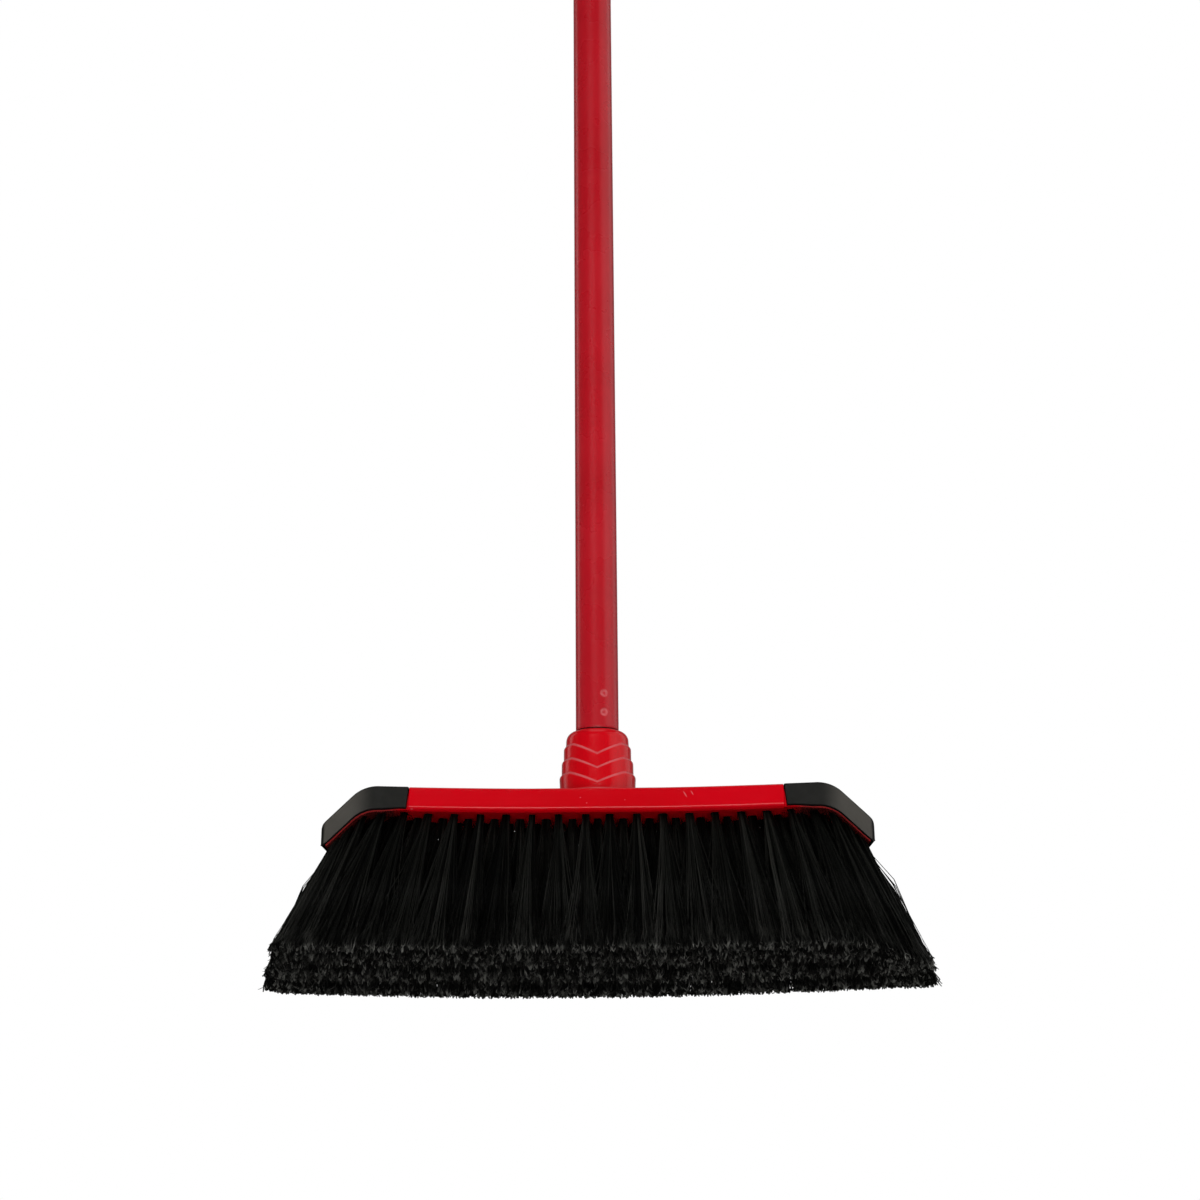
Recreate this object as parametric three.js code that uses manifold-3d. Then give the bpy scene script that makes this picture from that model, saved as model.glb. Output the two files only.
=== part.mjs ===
// A household push broom that hangs from the hole in its handle's top cap: a crimped steel
// handle, a threaded insert that screws into a stepped socket, an arched brush block with
// rubber end bumpers, and four rows of bristles planted in backing strips.
// Millimetres, +Z up along the handle, -Y the front, origin where a hook holds the cap.

import * as THREE from 'three';
import { mergeVertices } from 'three/addons/utils/BufferGeometryUtils.js';
import Module from 'manifold-3d';

const wasm = await Module();
wasm.setup();

const { sin, cos, tan, abs, min, max, hypot, ceil, sign, PI } = Math;
const radians = THREE.MathUtils.degToRad;

// ---- Clearances ----------------------------------------------------------------------

const FIT = 0.3; // between pieces that touch or are glued on the real broom
const THREAD_GAP = 0.4; // radial, crest to root, between the two threads
const FLANK_GAP = 0.35; // axial, on each flank of the thread
const CUT_PAST = 10; // how far a cut runs past the face that it opens

// ---- Handle --------------------------------------------------------------------------

const TUBE_LENGTH = 1200;
const TUBE_RADIUS = 11;
const TUBE_WALL = 0.6;
const TUBE_SIDES = 32;
const MOUTH_SEAT = 2; // depth of the tube's end below the socket's mouth

// Crimps, pressed through the tube into the insert
const CRIMP_HEIGHTS = [7.75, 18.05]; // above the socket's mouth
const CRIMP_TURN = 20; // degrees to the right of the front
const CRIMP_WIDTH = 3.4;
const CRIMP_DEPTH = 0.5;

// Threaded insert
const SHANK_PAST_CRIMP = 10; // above the upper crimp
const FLANGE_THICKNESS = 2;
const THREAD_INSET = 1.1; // of the thread's crest from the tube's outside
const THREAD_LEAD = 5;
const THREAD_DEPTH = 1.9;
const THREAD_BASE = 2.1; // axial width of the ridge at its foot
const THREAD_CREST = 0.9;
const THREAD_SINK = 0.3; // of the ridge's foot into its core
const THREAD_STEPS = 16; // for each turn
const NOSE_LENGTH = 2.5;
const NOSE_CHAMFER = 1.5;
const NOSE_ROOM = 1.2; // between the nose and the bore's end

// Hanger cap
const PLUG_LENGTH = 20;
const PLUG_CHAMFER = 1.5;
const CAP_OVERHANG = 1; // of the collar beyond the tube's outside
const CAP_STRAIGHT = 22; // collar's foot to the start of the dome
const CAP_EDGE = 0.8;
const CAP_FLAT_DEPTH = 15; // front to back across the two flats
const CAP_FLAT_FOOT = 7.5;
const SLOT_CROWN = 5.5; // material above the slot
const SLOT_WIDTH = 9;
const SLOT_DROP = 9; // between the centres of the slot's round ends

// ---- Head ----------------------------------------------------------------------------

// Arch of the block, seen from the front: level, crowned a little, then drooping
const HEAD_LENGTH = 280; // over the bumpers
const LEVEL_REACH = 30; // half length of the flat middle
const DROOP_RUN = 28; // length of each drooping end, seen from above
const CROWN_RISE = 1.8;
const CROWN_POWER = 1.5;
const SHOULDER_RADIUS = 18;
const DROOP = radians(44);

// Section of the block
const BLOCK_THICKNESS = 12.5;
const RIM_WALL = 3.5; // between the bristle strips and a face
const RIM_BEVEL = 2.5; // of the underside's edge, front to back
const BEVEL_HEIGHT = 2.1;
const TOP_ROUND = 1.6;
const FACE_ROUND = 0.7; // at a face's lower edge

// Socket: nested tiers whose upper rims dip to a V at the front and back
const SOCKET_HEIGHT = 36.3;
const SOCKET_WALL = 4.4; // round the tube, at the top tier
const LIP_HEIGHT = 5;
const MOUTH_GAP = 0.4; // between the tube and the mouth
const TIER_COUNT = 3;
const FIRST_RIM = 9; // below the mouth, at the sides
const LAST_APEX = 0.8; // from the lowest V to the foot's fillet
const TIER_STEP = 1.1;
const TIER_FLARE = 0.15; // growth of a tier from its top to its foot
const V_DEPTH = 7.4;
const V_SPREAD = radians(55);
const FOOT_RADIUS = 2.6;
const SOCKET_SIDES = 32;
const BORE_END = 2.6; // above the block's top

// Rubber bumpers
const BUMPER_FLAT = 17; // length of a bumper inside the droop
const BUMPER_THICKNESS = 2.2;
const BUMPER_PROUD = 0.6;
const BUMPER_CORNER = 3;

// Bristles
const ROW_COUNT = 4;
const ROW_PITCH = 11.6;
const TUFT_PITCH = 13.3;
const END_PITCH = 10; // near the ends
const END_ZONE = 12; // length with that pitch inside the droop
const LAST_TUFT = 3.6; // from the last tuft's centre to its strip's end
const STRIP_THICKNESS = 4;
const STRIP_END_WALL = 1.6;
const TIP_DROP = 88.7; // mean level of the tips below the block's top
const TIP_SLANT = 0.325; // the back row is the longest
const TIP_CURVE = 3.5; // how much shorter the bristles are at the ends
const FAN_SIDEWAYS = radians(31);
const FAN_POWER = 2;
const FAN_DEPTHWAYS = radians(10);
const STRANDS_ACROSS = 2; // in each direction of a tuft
const STRAND_SIDES = 3;
const STRAND_ROOT = 0.85; // circumradius at the root
const STRAND_TIP = 1.7;
const ROOT_CELL = 4.6; // square that a tuft's strands share at their roots
const STRAND_SINK = 1; // into the strip

// ---- Levels and radii that follow from those ------------------------------------------
// The head's own frame has its origin in the middle of the block's flat top.

const mouthLevel = SOCKET_HEIGHT;
const tubeFoot = mouthLevel - MOUTH_SEAT;
const tubeTop = tubeFoot + TUBE_LENGTH;
const tubeBore = TUBE_RADIUS - TUBE_WALL;
const plugRadius = tubeBore - FIT;
const mouthRadius = TUBE_RADIUS + MOUTH_GAP;
const flangeFoot = tubeFoot - FLANGE_THICKNESS;
const seatLevel = flangeFoot - FIT;
const noseLevel = BORE_END + NOSE_ROOM;
const threadFoot = noseLevel + NOSE_LENGTH;
const threadRadius = TUBE_RADIUS - THREAD_INSET;
const threadCore = threadRadius - THREAD_DEPTH;
const shankTop = mouthLevel + max(...CRIMP_HEIGHTS) + SHANK_PAST_CRIMP;

const collarRadius = TUBE_RADIUS + CAP_OVERHANG;
const capHeight = CAP_STRAIGHT + collarRadius;
const hookHeight = capHeight - SLOT_CROWN - SLOT_WIDTH / 2; // above the collar's foot
const hookLevel = tubeTop + FIT + hookHeight;

const headHalf = HEAD_LENGTH / 2;
const shoulderReach = headHalf - DROOP_RUN;
const bumperReach = shoulderReach - BUMPER_FLAT;
const stripWidth = ROW_PITCH - FIT;
const pocketDepth = ROW_COUNT * ROW_PITCH + FIT;
const blockDepth = pocketDepth + 2 * RIM_WALL;
const faceHeight = BLOCK_THICKNESS - BEVEL_HEIGHT;
const bumperInset = BUMPER_THICKNESS - BUMPER_PROUD;
const coreInset = bumperInset + FIT;
const coreEnd = headHalf - BUMPER_THICKNESS - FIT;
const pocketEnd = coreEnd - STRIP_END_WALL;
const stripEnd = pocketEnd - FIT;

// ---- Finishes ------------------------------------------------------------------------

const finish = (color, roughness, metalness) =>
  new THREE.MeshStandardMaterial({ color, roughness, metalness });
const paintedSteel = finish(0xa81e26, 0.45, 0.3);
const redPlastic = finish(0xc40616, 0.25, 0);
const blackPlastic = finish(0x1b1b1b, 0.5, 0);
const blackRubber = finish(0x2b2b2a, 0.8, 0);
const bristleBlack = finish(0x101110, 0.6, 0);

// ---- Geometry helpers -----------------------------------------------------------------

const spread = (count, place) => Array.from({ length: count }, (_, i) => place(i));
const quarter = (steps, place) => spread(steps + 1, (i) => place((i * PI) / 2 / steps));

/** Corners and triangle indices as one geometry, with its faces turned outwards. */
function closedGeometry(points, triangles) {
  const [a, b, c] = spread(3, () => new THREE.Vector3());
  let volume = 0;
  for (let i = 0; i < triangles.length; i += 3) {
    a.copy(points[triangles[i]]);
    b.copy(points[triangles[i + 1]]);
    c.copy(points[triangles[i + 2]]);
    volume += a.dot(b.cross(c));
  }
  const outward = volume > 0 ? triangles : [...triangles].reverse();
  const geometry = new THREE.BufferGeometry().setFromPoints(points);
  geometry.setIndex(outward);
  return geometry;
}

/** A body lofted through rings of equal length, closed by a flat cap at each end. */
function loft(rings, outline) {
  const count = outline.length;
  const triangles = [];
  for (let ring = 0; ring + 1 < rings.length; ring += 1) {
    for (let i = 0; i < count; i += 1) {
      const near = ring * count + i;
      const next = ring * count + ((i + 1) % count);
      triangles.push(near, next, near + count, next, next + count, near + count);
    }
  }
  const cap = THREE.ShapeUtils.triangulateShape(outline, []);
  const turned = THREE.ShapeUtils.area(outline) > 0 ? 1 : -1;
  const last = (rings.length - 1) * count;
  for (const corners of cap) {
    const [i, j, k] = turned > 0 ? corners : [...corners].reverse();
    triangles.push(k, j, i, last + i, last + j, last + k);
  }
  return closedGeometry(rings.flat(), triangles);
}

/** A body of revolution about Z from [radius, height] pairs. */
function turned(profile, sides) {
  const points = profile.map(([radius, height]) => new THREE.Vector2(radius, height));
  return new THREE.LatheGeometry(points, sides).rotateX(PI / 2);
}

/** A closed geometry as a solid for cutting and joining. */
function solid(geometry) {
  const bare = geometry.clone();
  bare.deleteAttribute('normal');
  bare.deleteAttribute('uv');
  const merged = mergeVertices(bare);
  return new wasm.Manifold(
    new wasm.Mesh({
      numProp: 3,
      vertProperties: new Float32Array(merged.attributes.position.array),
      triVerts: new Uint32Array(merged.index.array),
    }),
  );
}

/** A finished solid as a mesh of the scene. */
function part(name, shape, material) {
  const { vertProperties, triVerts } = shape.getMesh();
  const geometry = new THREE.BufferGeometry();
  geometry.setAttribute('position', new THREE.BufferAttribute(vertProperties, 3));
  geometry.setIndex(new THREE.BufferAttribute(triVerts, 1));
  geometry.computeVertexNormals();
  const mesh = new THREE.Mesh(geometry, material);
  mesh.name = name;
  return mesh;
}

/** A right-handed ridge round Z, from one level to another, trapezoid in section. */
function helix(innerRadius, outerRadius, footWidth, crestWidth, from, to) {
  const steps = ceil(((to - from) / THREAD_LEAD) * THREAD_STEPS);
  const outline = [
    new THREE.Vector2(innerRadius, -footWidth / 2),
    new THREE.Vector2(outerRadius, -crestWidth / 2),
    new THREE.Vector2(outerRadius, crestWidth / 2),
    new THREE.Vector2(innerRadius, footWidth / 2),
  ];
  const rings = spread(steps + 1, (step) => {
    const level = from + (step * (to - from)) / steps;
    const angle = (2 * PI * level) / THREAD_LEAD;
    return outline.map(
      ({ x, y }) => new THREE.Vector3(x * cos(angle), x * sin(angle), level + y),
    );
  });
  return solid(loft(rings, outline));
}

// ---- Handle --------------------------------------------------------------------------

const crimpBall = (CRIMP_WIDTH ** 2 / 4 + CRIMP_DEPTH ** 2) / (2 * CRIMP_DEPTH);
const crimpReach = TUBE_RADIUS - CRIMP_DEPTH + crimpBall;
const BALL_STEPS = [14, 8];

/** One ball for each crimp, at the front and opposite it, grown by a margin. */
function crimpBalls(margin) {
  const balls = [];
  for (const height of CRIMP_HEIGHTS) {
    for (const side of [1, -1]) {
      const angle = radians(CRIMP_TURN);
      const ball = new THREE.SphereGeometry(crimpBall + margin, ...BALL_STEPS);
      ball.translate(
        side * crimpReach * sin(angle),
        -side * crimpReach * cos(angle),
        mouthLevel + height,
      );
      balls.push(solid(ball));
    }
  }
  return balls.reduce((all, ball) => all.add(ball));
}

function handleTube() {
  const outside = [
    [0, tubeFoot],
    [TUBE_RADIUS, tubeFoot],
    [TUBE_RADIUS, tubeTop],
    [0, tubeTop],
  ];
  const wall = [
    [tubeBore, tubeFoot],
    [TUBE_RADIUS, tubeFoot],
    [TUBE_RADIUS, tubeTop],
    [tubeBore, tubeTop],
    [tubeBore, tubeFoot],
  ];
  const dented = crimpBalls(TUBE_WALL).intersect(solid(turned(outside, TUBE_SIDES)));
  return solid(turned(wall, TUBE_SIDES)).add(dented).subtract(crimpBalls(0));
}

function threadInsert() {
  const profile = [
    [0, noseLevel],
    [threadCore - NOSE_CHAMFER, noseLevel],
    [threadCore, noseLevel + NOSE_CHAMFER],
    [threadCore, flangeFoot],
    [TUBE_RADIUS, flangeFoot],
    [TUBE_RADIUS, tubeFoot],
    [plugRadius, tubeFoot],
    [plugRadius, shankTop - PLUG_CHAMFER],
    [plugRadius - PLUG_CHAMFER, shankTop],
    [0, shankTop],
  ];
  const ridge = helix(
    threadCore - THREAD_SINK,
    threadRadius,
    THREAD_BASE,
    THREAD_CREST,
    threadFoot + THREAD_BASE / 2,
    flangeFoot - THREAD_BASE / 2,
  );
  return solid(turned(profile, TUBE_SIDES)).add(ridge).subtract(crimpBalls(TUBE_WALL + FIT));
}

function hangerCap() {
  const DOME_STEPS = 6;
  const dome = quarter(DOME_STEPS, (angle) => {
    return [collarRadius * cos(angle), CAP_STRAIGHT + collarRadius * sin(angle)];
  });
  const profile = [
    [0, -PLUG_LENGTH],
    [plugRadius - PLUG_CHAMFER, -PLUG_LENGTH],
    [plugRadius, PLUG_CHAMFER - PLUG_LENGTH],
    [plugRadius, 0],
    [collarRadius - CAP_EDGE, 0],
    [collarRadius, CAP_EDGE],
    ...dome,
  ];
  const body = solid(turned(profile, TUBE_SIDES));

  const flat = new THREE.BoxGeometry(2 * (collarRadius + CUT_PAST), collarRadius, capHeight);
  flat.translate(0, (CAP_FLAT_DEPTH + collarRadius) / 2, CAP_FLAT_FOOT + capHeight / 2);
  const backFlat = solid(flat);
  const frontFlat = solid(flat.rotateZ(PI));

  const outline = new THREE.Shape();
  outline.absarc(0, 0, SLOT_WIDTH / 2, 0, PI);
  outline.absarc(0, -SLOT_DROP, SLOT_WIDTH / 2, PI, 2 * PI);
  const depth = 2 * (collarRadius + CUT_PAST);
  const slot = new THREE.ExtrudeGeometry(outline, {
    depth,
    bevelEnabled: false,
    curveSegments: 10,
  });
  slot.translate(0, 0, -depth / 2).rotateX(PI / 2).translate(0, 0, hookHeight);
  return body.subtract(backFlat).subtract(frontFlat).subtract(solid(slot));
}

// ---- Arch of the head -------------------------------------------------------------------

const shoulderEnd = shoulderReach + SHOULDER_RADIUS * DROOP;
const shoulderX = shoulderReach + SHOULDER_RADIUS * sin(DROOP);

/** Place on the block's top line, at a distance from the middle measured along it. */
function archAt(distance) {
  const along = abs(distance);
  const level = min(along, shoulderReach);
  const rise = max(0, level - LEVEL_REACH) / (shoulderReach - LEVEL_REACH);
  const angle = max(0, min(along, shoulderEnd) - shoulderReach) / SHOULDER_RADIUS;
  const straight = max(0, along - shoulderEnd);
  const x = level + SHOULDER_RADIUS * sin(angle) + straight * cos(DROOP);
  const z =
    CROWN_RISE * rise ** CROWN_POWER -
    SHOULDER_RADIUS * (1 - cos(angle)) -
    straight * sin(DROOP);
  return { x: sign(distance) * x, z };
}

/** Distance along the arch of a place on its straight drooping end. */
const distanceTo = (x) => shoulderEnd + (x - shoulderX) / cos(DROOP);

const LEVEL_STEPS = 4;
const SHOULDER_STEPS = 6;

/** Distances along the arch at which a sweep from the middle to an end has a section. */
function archStations(end) {
  const level = spread(LEVEL_STEPS, (i) => {
    return LEVEL_REACH + (i * (shoulderReach - LEVEL_REACH)) / LEVEL_STEPS;
  });
  const bend = spread(SHOULDER_STEPS + 1, (i) => {
    return shoulderReach + (i * (shoulderEnd - shoulderReach)) / SHOULDER_STEPS;
  });
  return [...level, ...bend].filter((distance) => distance < end).concat(end);
}

/** Sweeps an outline of [y, z] pairs along the arch between two distances. */
function archSweep(section, from, to) {
  const outline = section.map(([y, z]) => new THREE.Vector2(y, z));
  const near = from < 0 ? archStations(-from).reverse().map((d) => -d) : [from];
  const far = archStations(to).filter((distance) => distance > from);
  const rings = [...near, ...far].map((distance) => {
    const { x, z } = archAt(distance);
    return outline.map((corner) => new THREE.Vector3(x, corner.x, z + corner.y));
  });
  return solid(loft(rings, outline));
}

/** A front half-section of [distance behind the middle, height] pairs, with its mirror. */
function mirrored(half) {
  return [...half, ...half.map(([y, z]) => [-y, z]).reverse()];
}

/** A section's rounded upper front edge: three points of a quarter round. */
function topEdge(halfDepth, top) {
  const middle = TOP_ROUND * (1 - Math.SQRT1_2);
  return [
    [TOP_ROUND - halfDepth, top],
    [middle - halfDepth, top - middle],
    [-halfDepth, top - TOP_ROUND],
  ];
}

// ---- Block with its socket ----------------------------------------------------------------

function blockSection() {
  const face = blockDepth / 2;
  return mirrored([
    ...topEdge(face, 0),
    [-face, FACE_ROUND - faceHeight],
    [FACE_ROUND - face, -faceHeight],
    [RIM_BEVEL - face, -BLOCK_THICKNESS],
  ]);
}

/** The block's ends are narrower, so that the bumpers fit over them onto a ledge. */
function coreSection() {
  const face = blockDepth / 2;
  const ledge = -faceHeight - FIT;
  const bevelPart = FIT / BEVEL_HEIGHT;
  return mirrored([
    [coreInset + TOP_ROUND - face, -coreInset],
    [coreInset - face, -coreInset - TOP_ROUND],
    [coreInset - face, ledge],
    [FACE_ROUND + bevelPart * (RIM_BEVEL - FACE_ROUND) - face, ledge],
    [RIM_BEVEL - face, -BLOCK_THICKNESS],
  ]);
}

/** How far a tier's rim dips at an angle: to a V at the front and back, not at the sides. */
function rimDip(angle) {
  const fromMiddle = abs(PI / 2 - (angle % PI));
  return V_DEPTH * max(0, 1 - fromMiddle / V_SPREAD);
}

/** The socket's outline as rings: a radius, its depth under the mouth, and whether it dips. */
function socketLevels() {
  const LIP_STEPS = 3;
  const FOOT_STEPS = 2;
  const ring = (radius, drop, dips = 0) => ({ radius, drop, dips });
  const levels = quarter(LIP_STEPS, (angle) => {
    return ring(mouthRadius + SOCKET_WALL * sin(angle), LIP_HEIGHT * (1 - cos(angle)));
  });
  const footTop = SOCKET_HEIGHT - FOOT_RADIUS;
  const lastRim = footTop - LAST_APEX - V_DEPTH - TIER_STEP;
  const pitch = (lastRim - FIRST_RIM) / (TIER_COUNT - 1);
  let radius = mouthRadius + SOCKET_WALL;
  for (let tier = 0; tier < TIER_COUNT; tier += 1) {
    const rim = FIRST_RIM + tier * pitch;
    levels.push(ring(radius + TIER_FLARE, rim, 1));
    radius += TIER_FLARE + TIER_STEP;
    levels.push(ring(radius, rim + TIER_STEP, 1));
  }
  radius += TIER_FLARE;
  const foot = quarter(FOOT_STEPS, (angle) => {
    return ring(radius + FOOT_RADIUS * (1 - cos(angle)), footTop + FOOT_RADIUS * sin(angle));
  });
  return [...levels, ...foot, ring(radius + FOOT_RADIUS, SOCKET_HEIGHT + FOOT_RADIUS)];
}

function socketBody() {
  const angles = spread(SOCKET_SIDES, (i) => (2 * PI * i) / SOCKET_SIDES);
  const outline = angles.map((angle) => new THREE.Vector2(cos(angle), sin(angle)));
  const rings = socketLevels().map(({ radius, drop, dips }) =>
    angles.map((angle, i) => {
      const height = mouthLevel - drop - dips * rimDip(angle);
      return new THREE.Vector3(radius * outline[i].x, radius * outline[i].y, height);
    }),
  );
  return solid(loft(rings, outline));
}

/** Everything that is hollow in the socket: the mouth, the bore, and a thread that runs out
 * above the seat, so that it takes the ridge at every turn. */
function socketHollow() {
  const bore = threadCore + THREAD_GAP;
  const profile = [
    [0, BORE_END],
    [bore, BORE_END],
    [bore, seatLevel],
    [mouthRadius, seatLevel],
    [mouthRadius, mouthLevel + CUT_PAST],
    [0, mouthLevel + CUT_PAST],
  ];
  const growth = (THREAD_BASE - THREAD_CREST) / THREAD_DEPTH;
  const groove = helix(
    bore - THREAD_SINK,
    threadRadius + THREAD_GAP,
    THREAD_BASE + 2 * FLANK_GAP + growth * THREAD_GAP,
    THREAD_CREST + 2 * FLANK_GAP,
    BORE_END + THREAD_LEAD / 2,
    seatLevel + THREAD_LEAD / 2,
  );
  return solid(turned(profile, TUBE_SIDES)).add(groove);
}

function brushBlock() {
  const middle = bumperReach - FIT;
  const end = distanceTo(coreEnd);
  const pocketTop = STRIP_THICKNESS + FIT - BLOCK_THICKNESS;
  const pocket = mirrored([
    [-pocketDepth / 2, pocketTop],
    [-pocketDepth / 2, -BLOCK_THICKNESS - CUT_PAST],
  ]);
  const pocketReach = distanceTo(pocketEnd);
  return archSweep(blockSection(), -middle, middle)
    .add(archSweep(coreSection(), -end, end))
    .add(socketBody())
    .subtract(archSweep(pocket, -pocketReach, pocketReach))
    .subtract(socketHollow());
}

// ---- Bumpers --------------------------------------------------------------------------

/** One bumper, side +1 at the right or -1 at the left: a cap open below and inwards. */
function bumper(side) {
  const CORNER_STEPS = 3;
  const half = blockDepth / 2 + BUMPER_PROUD;
  const section = (inset) =>
    mirrored([...topEdge(half - inset, BUMPER_PROUD - inset), [inset - half, inset - faceHeight]]);
  const outline = section(0).map(([y, z]) => new THREE.Vector2(y, z));
  const cornerStart = distanceTo(headHalf - BUMPER_CORNER);
  const along = archStations(cornerStart).filter((distance) => distance > bumperReach);
  const stations = [bumperReach, ...along].map((distance) => ({ distance, inset: 0 }));
  const corner = quarter(CORNER_STEPS, (angle) => ({
    distance: distanceTo(headHalf - BUMPER_CORNER * (1 - sin(angle))),
    inset: BUMPER_CORNER * (1 - cos(angle)),
  }));
  const rings = [...stations, ...corner.slice(1)].map(({ distance, inset }) => {
    const { x, z } = archAt(distance);
    return section(inset).map(([y, height]) => new THREE.Vector3(side * x, y, z + height));
  });
  const inside = mirrored([
    [bumperInset + TOP_ROUND - blockDepth / 2, -bumperInset],
    [bumperInset - blockDepth / 2, -bumperInset - TOP_ROUND],
    [bumperInset - blockDepth / 2, -BLOCK_THICKNESS - CUT_PAST],
  ]);
  const reach = distanceTo(headHalf - BUMPER_THICKNESS);
  return solid(loft(rings, outline)).subtract(archSweep(inside, -reach, reach));
}

// ---- Bristles -------------------------------------------------------------------------

/** Distances along the arch of one row's tufts, from the middle outwards. */
function tuftDistances(row) {
  const last = distanceTo(stripEnd - LAST_TUFT);
  const staggered = row % 2 === 1;
  const half = [];
  const closerFrom = shoulderReach - END_ZONE;
  let distance = staggered ? TUFT_PITCH : TUFT_PITCH / 2;
  while (distance <= last) {
    half.push(distance);
    distance += distance + TUFT_PITCH <= closerFrom ? TUFT_PITCH : END_PITCH;
  }
  return [...half.map((d) => -d).reverse(), ...(staggered ? [0] : []), ...half];
}

/** Height of the trimmed tips under a place of the head. */
function tipLevel(x, y) {
  return -TIP_DROP - TIP_SLANT * y + TIP_CURVE * (x / headHalf) ** 2;
}

/** Where a line leaves the tuft's root and meets the trimmed surface. */
function tipPlace(root, lean) {
  let x = root.x;
  let y = root.y;
  const SETTLE = 6; // rounds, because the level depends on the place
  for (let round = 0; round < SETTLE; round += 1) {
    const drop = root.z - tipLevel(x, y);
    x = root.x + drop * tan(lean.sideways);
    y = root.y + drop * tan(lean.depthways);
  }
  return { x, y };
}

/** One strand: a flaring prism from inside its strip to the trimmed surface. */
function strand(root, tip, points, triangles) {
  const first = points.length;
  for (const end of [root, tip]) {
    const radius = end === root ? STRAND_ROOT : STRAND_TIP;
    for (let side = 0; side < STRAND_SIDES; side += 1) {
      const angle = (2 * PI * side) / STRAND_SIDES;
      const x = end.x + radius * cos(angle);
      const y = end.y + radius * sin(angle);
      points.push(new THREE.Vector3(x, y, end === root ? root.z : tipLevel(x, y)));
    }
  }
  for (let side = 0; side < STRAND_SIDES; side += 1) {
    const here = first + side;
    const next = first + ((side + 1) % STRAND_SIDES);
    triangles.push(here, here + STRAND_SIDES, next);
    triangles.push(next, here + STRAND_SIDES, next + STRAND_SIDES);
  }
  for (let side = 1; side + 1 < STRAND_SIDES; side += 1) {
    const tipFirst = first + STRAND_SIDES;
    triangles.push(first, first + side, first + side + 1);
    triangles.push(tipFirst, tipFirst + side + 1, tipFirst + side);
  }
}

/** Places of a tuft's strands: -1 to 1 across the tuft in each direction. */
function strandOffsets() {
  const steps = spread(STRANDS_ACROSS, (i) => (2 * i + 1) / STRANDS_ACROSS - 1);
  return steps.flatMap((u) => steps.map((v) => [u, v]));
}

/** One row: its backing strip with every strand of its tufts fused to it. */
function bristleRow(row) {
  const rowY = (row - (ROW_COUNT - 1) / 2) * ROW_PITCH;
  const outerY = ((ROW_COUNT - 1) / 2) * ROW_PITCH;
  const depthways = FAN_DEPTHWAYS * (rowY / outerY);
  const reach = distanceTo(stripEnd);
  const widest = stripEnd - LAST_TUFT;

  const centres = tuftDistances(row).map((distance) => {
    const arch = archAt(distance);
    const sideways = FAN_SIDEWAYS * sign(arch.x) * (abs(arch.x) / widest) ** FAN_POWER;
    const root = { x: arch.x, y: rowY, z: arch.z - BLOCK_THICKNESS + STRAND_SINK };
    return { root, tip: tipPlace(root, { sideways, depthways }) };
  });
  const rowTipPitch = ROW_PITCH + (2 * TIP_DROP * tan(FAN_DEPTHWAYS)) / (ROW_COUNT - 1);

  const points = [];
  const triangles = [];
  centres.forEach(({ root, tip }, i) => {
    const before = centres[max(0, i - 1)].tip;
    const after = centres[min(centres.length - 1, i + 1)].tip;
    const neighbours = i > 0 && i + 1 < centres.length ? 2 : 1;
    const cell = hypot(after.x - before.x, after.y - before.y) / neighbours;
    for (const [u, v] of strandOffsets()) {
      const foot = { ...root, x: root.x + (u * ROOT_CELL) / 2, y: root.y + (v * ROOT_CELL) / 2 };
      const end = { x: tip.x + (u * cell) / 2, y: tip.y + (v * rowTipPitch) / 2 };
      strand(foot, end, points, triangles);
    }
  });
  const section = [
    [rowY - stripWidth / 2, STRIP_THICKNESS - BLOCK_THICKNESS],
    [rowY - stripWidth / 2, -BLOCK_THICKNESS],
    [rowY + stripWidth / 2, -BLOCK_THICKNESS],
    [rowY + stripWidth / 2, STRIP_THICKNESS - BLOCK_THICKNESS],
  ];
  return archSweep(section, -reach, reach).add(solid(closedGeometry(points, triangles)));
}

// ---- The broom --------------------------------------------------------------------------

const broom = new THREE.Group();

const cap = part('hanger_cap', hangerCap(), blackPlastic);
cap.position.z = -hookHeight;
broom.add(cap);

const lower = new THREE.Group();
lower.position.z = -hookLevel;
lower.add(part('handle_tube', handleTube(), paintedSteel));
lower.add(part('thread_insert', threadInsert(), blackPlastic));
lower.add(part('brush_block', brushBlock(), redPlastic));
lower.add(part('bumper_left', bumper(-1), blackRubber));
lower.add(part('bumper_right', bumper(1), blackRubber));
for (let row = 0; row < ROW_COUNT; row += 1) {
  lower.add(part(`bristle_row_${row + 1}`, bristleRow(row), bristleBlack));
}
broom.add(lower);

export default broom;
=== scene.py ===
# A household push broom: painted steel handle, stepped red socket and arched block, rubber
# bumpers and four rows of black bristles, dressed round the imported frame.

import math

import bmesh
import bpy
import numpy as np
from mathutils import Matrix, Vector


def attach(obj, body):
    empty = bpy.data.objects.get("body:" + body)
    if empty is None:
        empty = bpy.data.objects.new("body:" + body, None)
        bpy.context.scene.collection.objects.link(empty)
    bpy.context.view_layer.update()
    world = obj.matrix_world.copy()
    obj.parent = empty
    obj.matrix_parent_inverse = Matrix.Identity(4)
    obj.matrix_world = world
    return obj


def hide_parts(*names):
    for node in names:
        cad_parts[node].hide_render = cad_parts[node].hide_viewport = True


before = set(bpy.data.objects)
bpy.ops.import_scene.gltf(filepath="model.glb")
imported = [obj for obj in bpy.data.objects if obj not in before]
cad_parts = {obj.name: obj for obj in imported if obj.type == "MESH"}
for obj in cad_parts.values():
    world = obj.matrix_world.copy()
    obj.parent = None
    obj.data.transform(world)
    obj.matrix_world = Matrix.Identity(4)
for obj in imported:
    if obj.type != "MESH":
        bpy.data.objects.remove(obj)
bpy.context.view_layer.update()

# ---- Sizes, in millimetres -----------------------------------
# Levels on the head, the tube and the insert are above the middle of the block's flat top.

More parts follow.
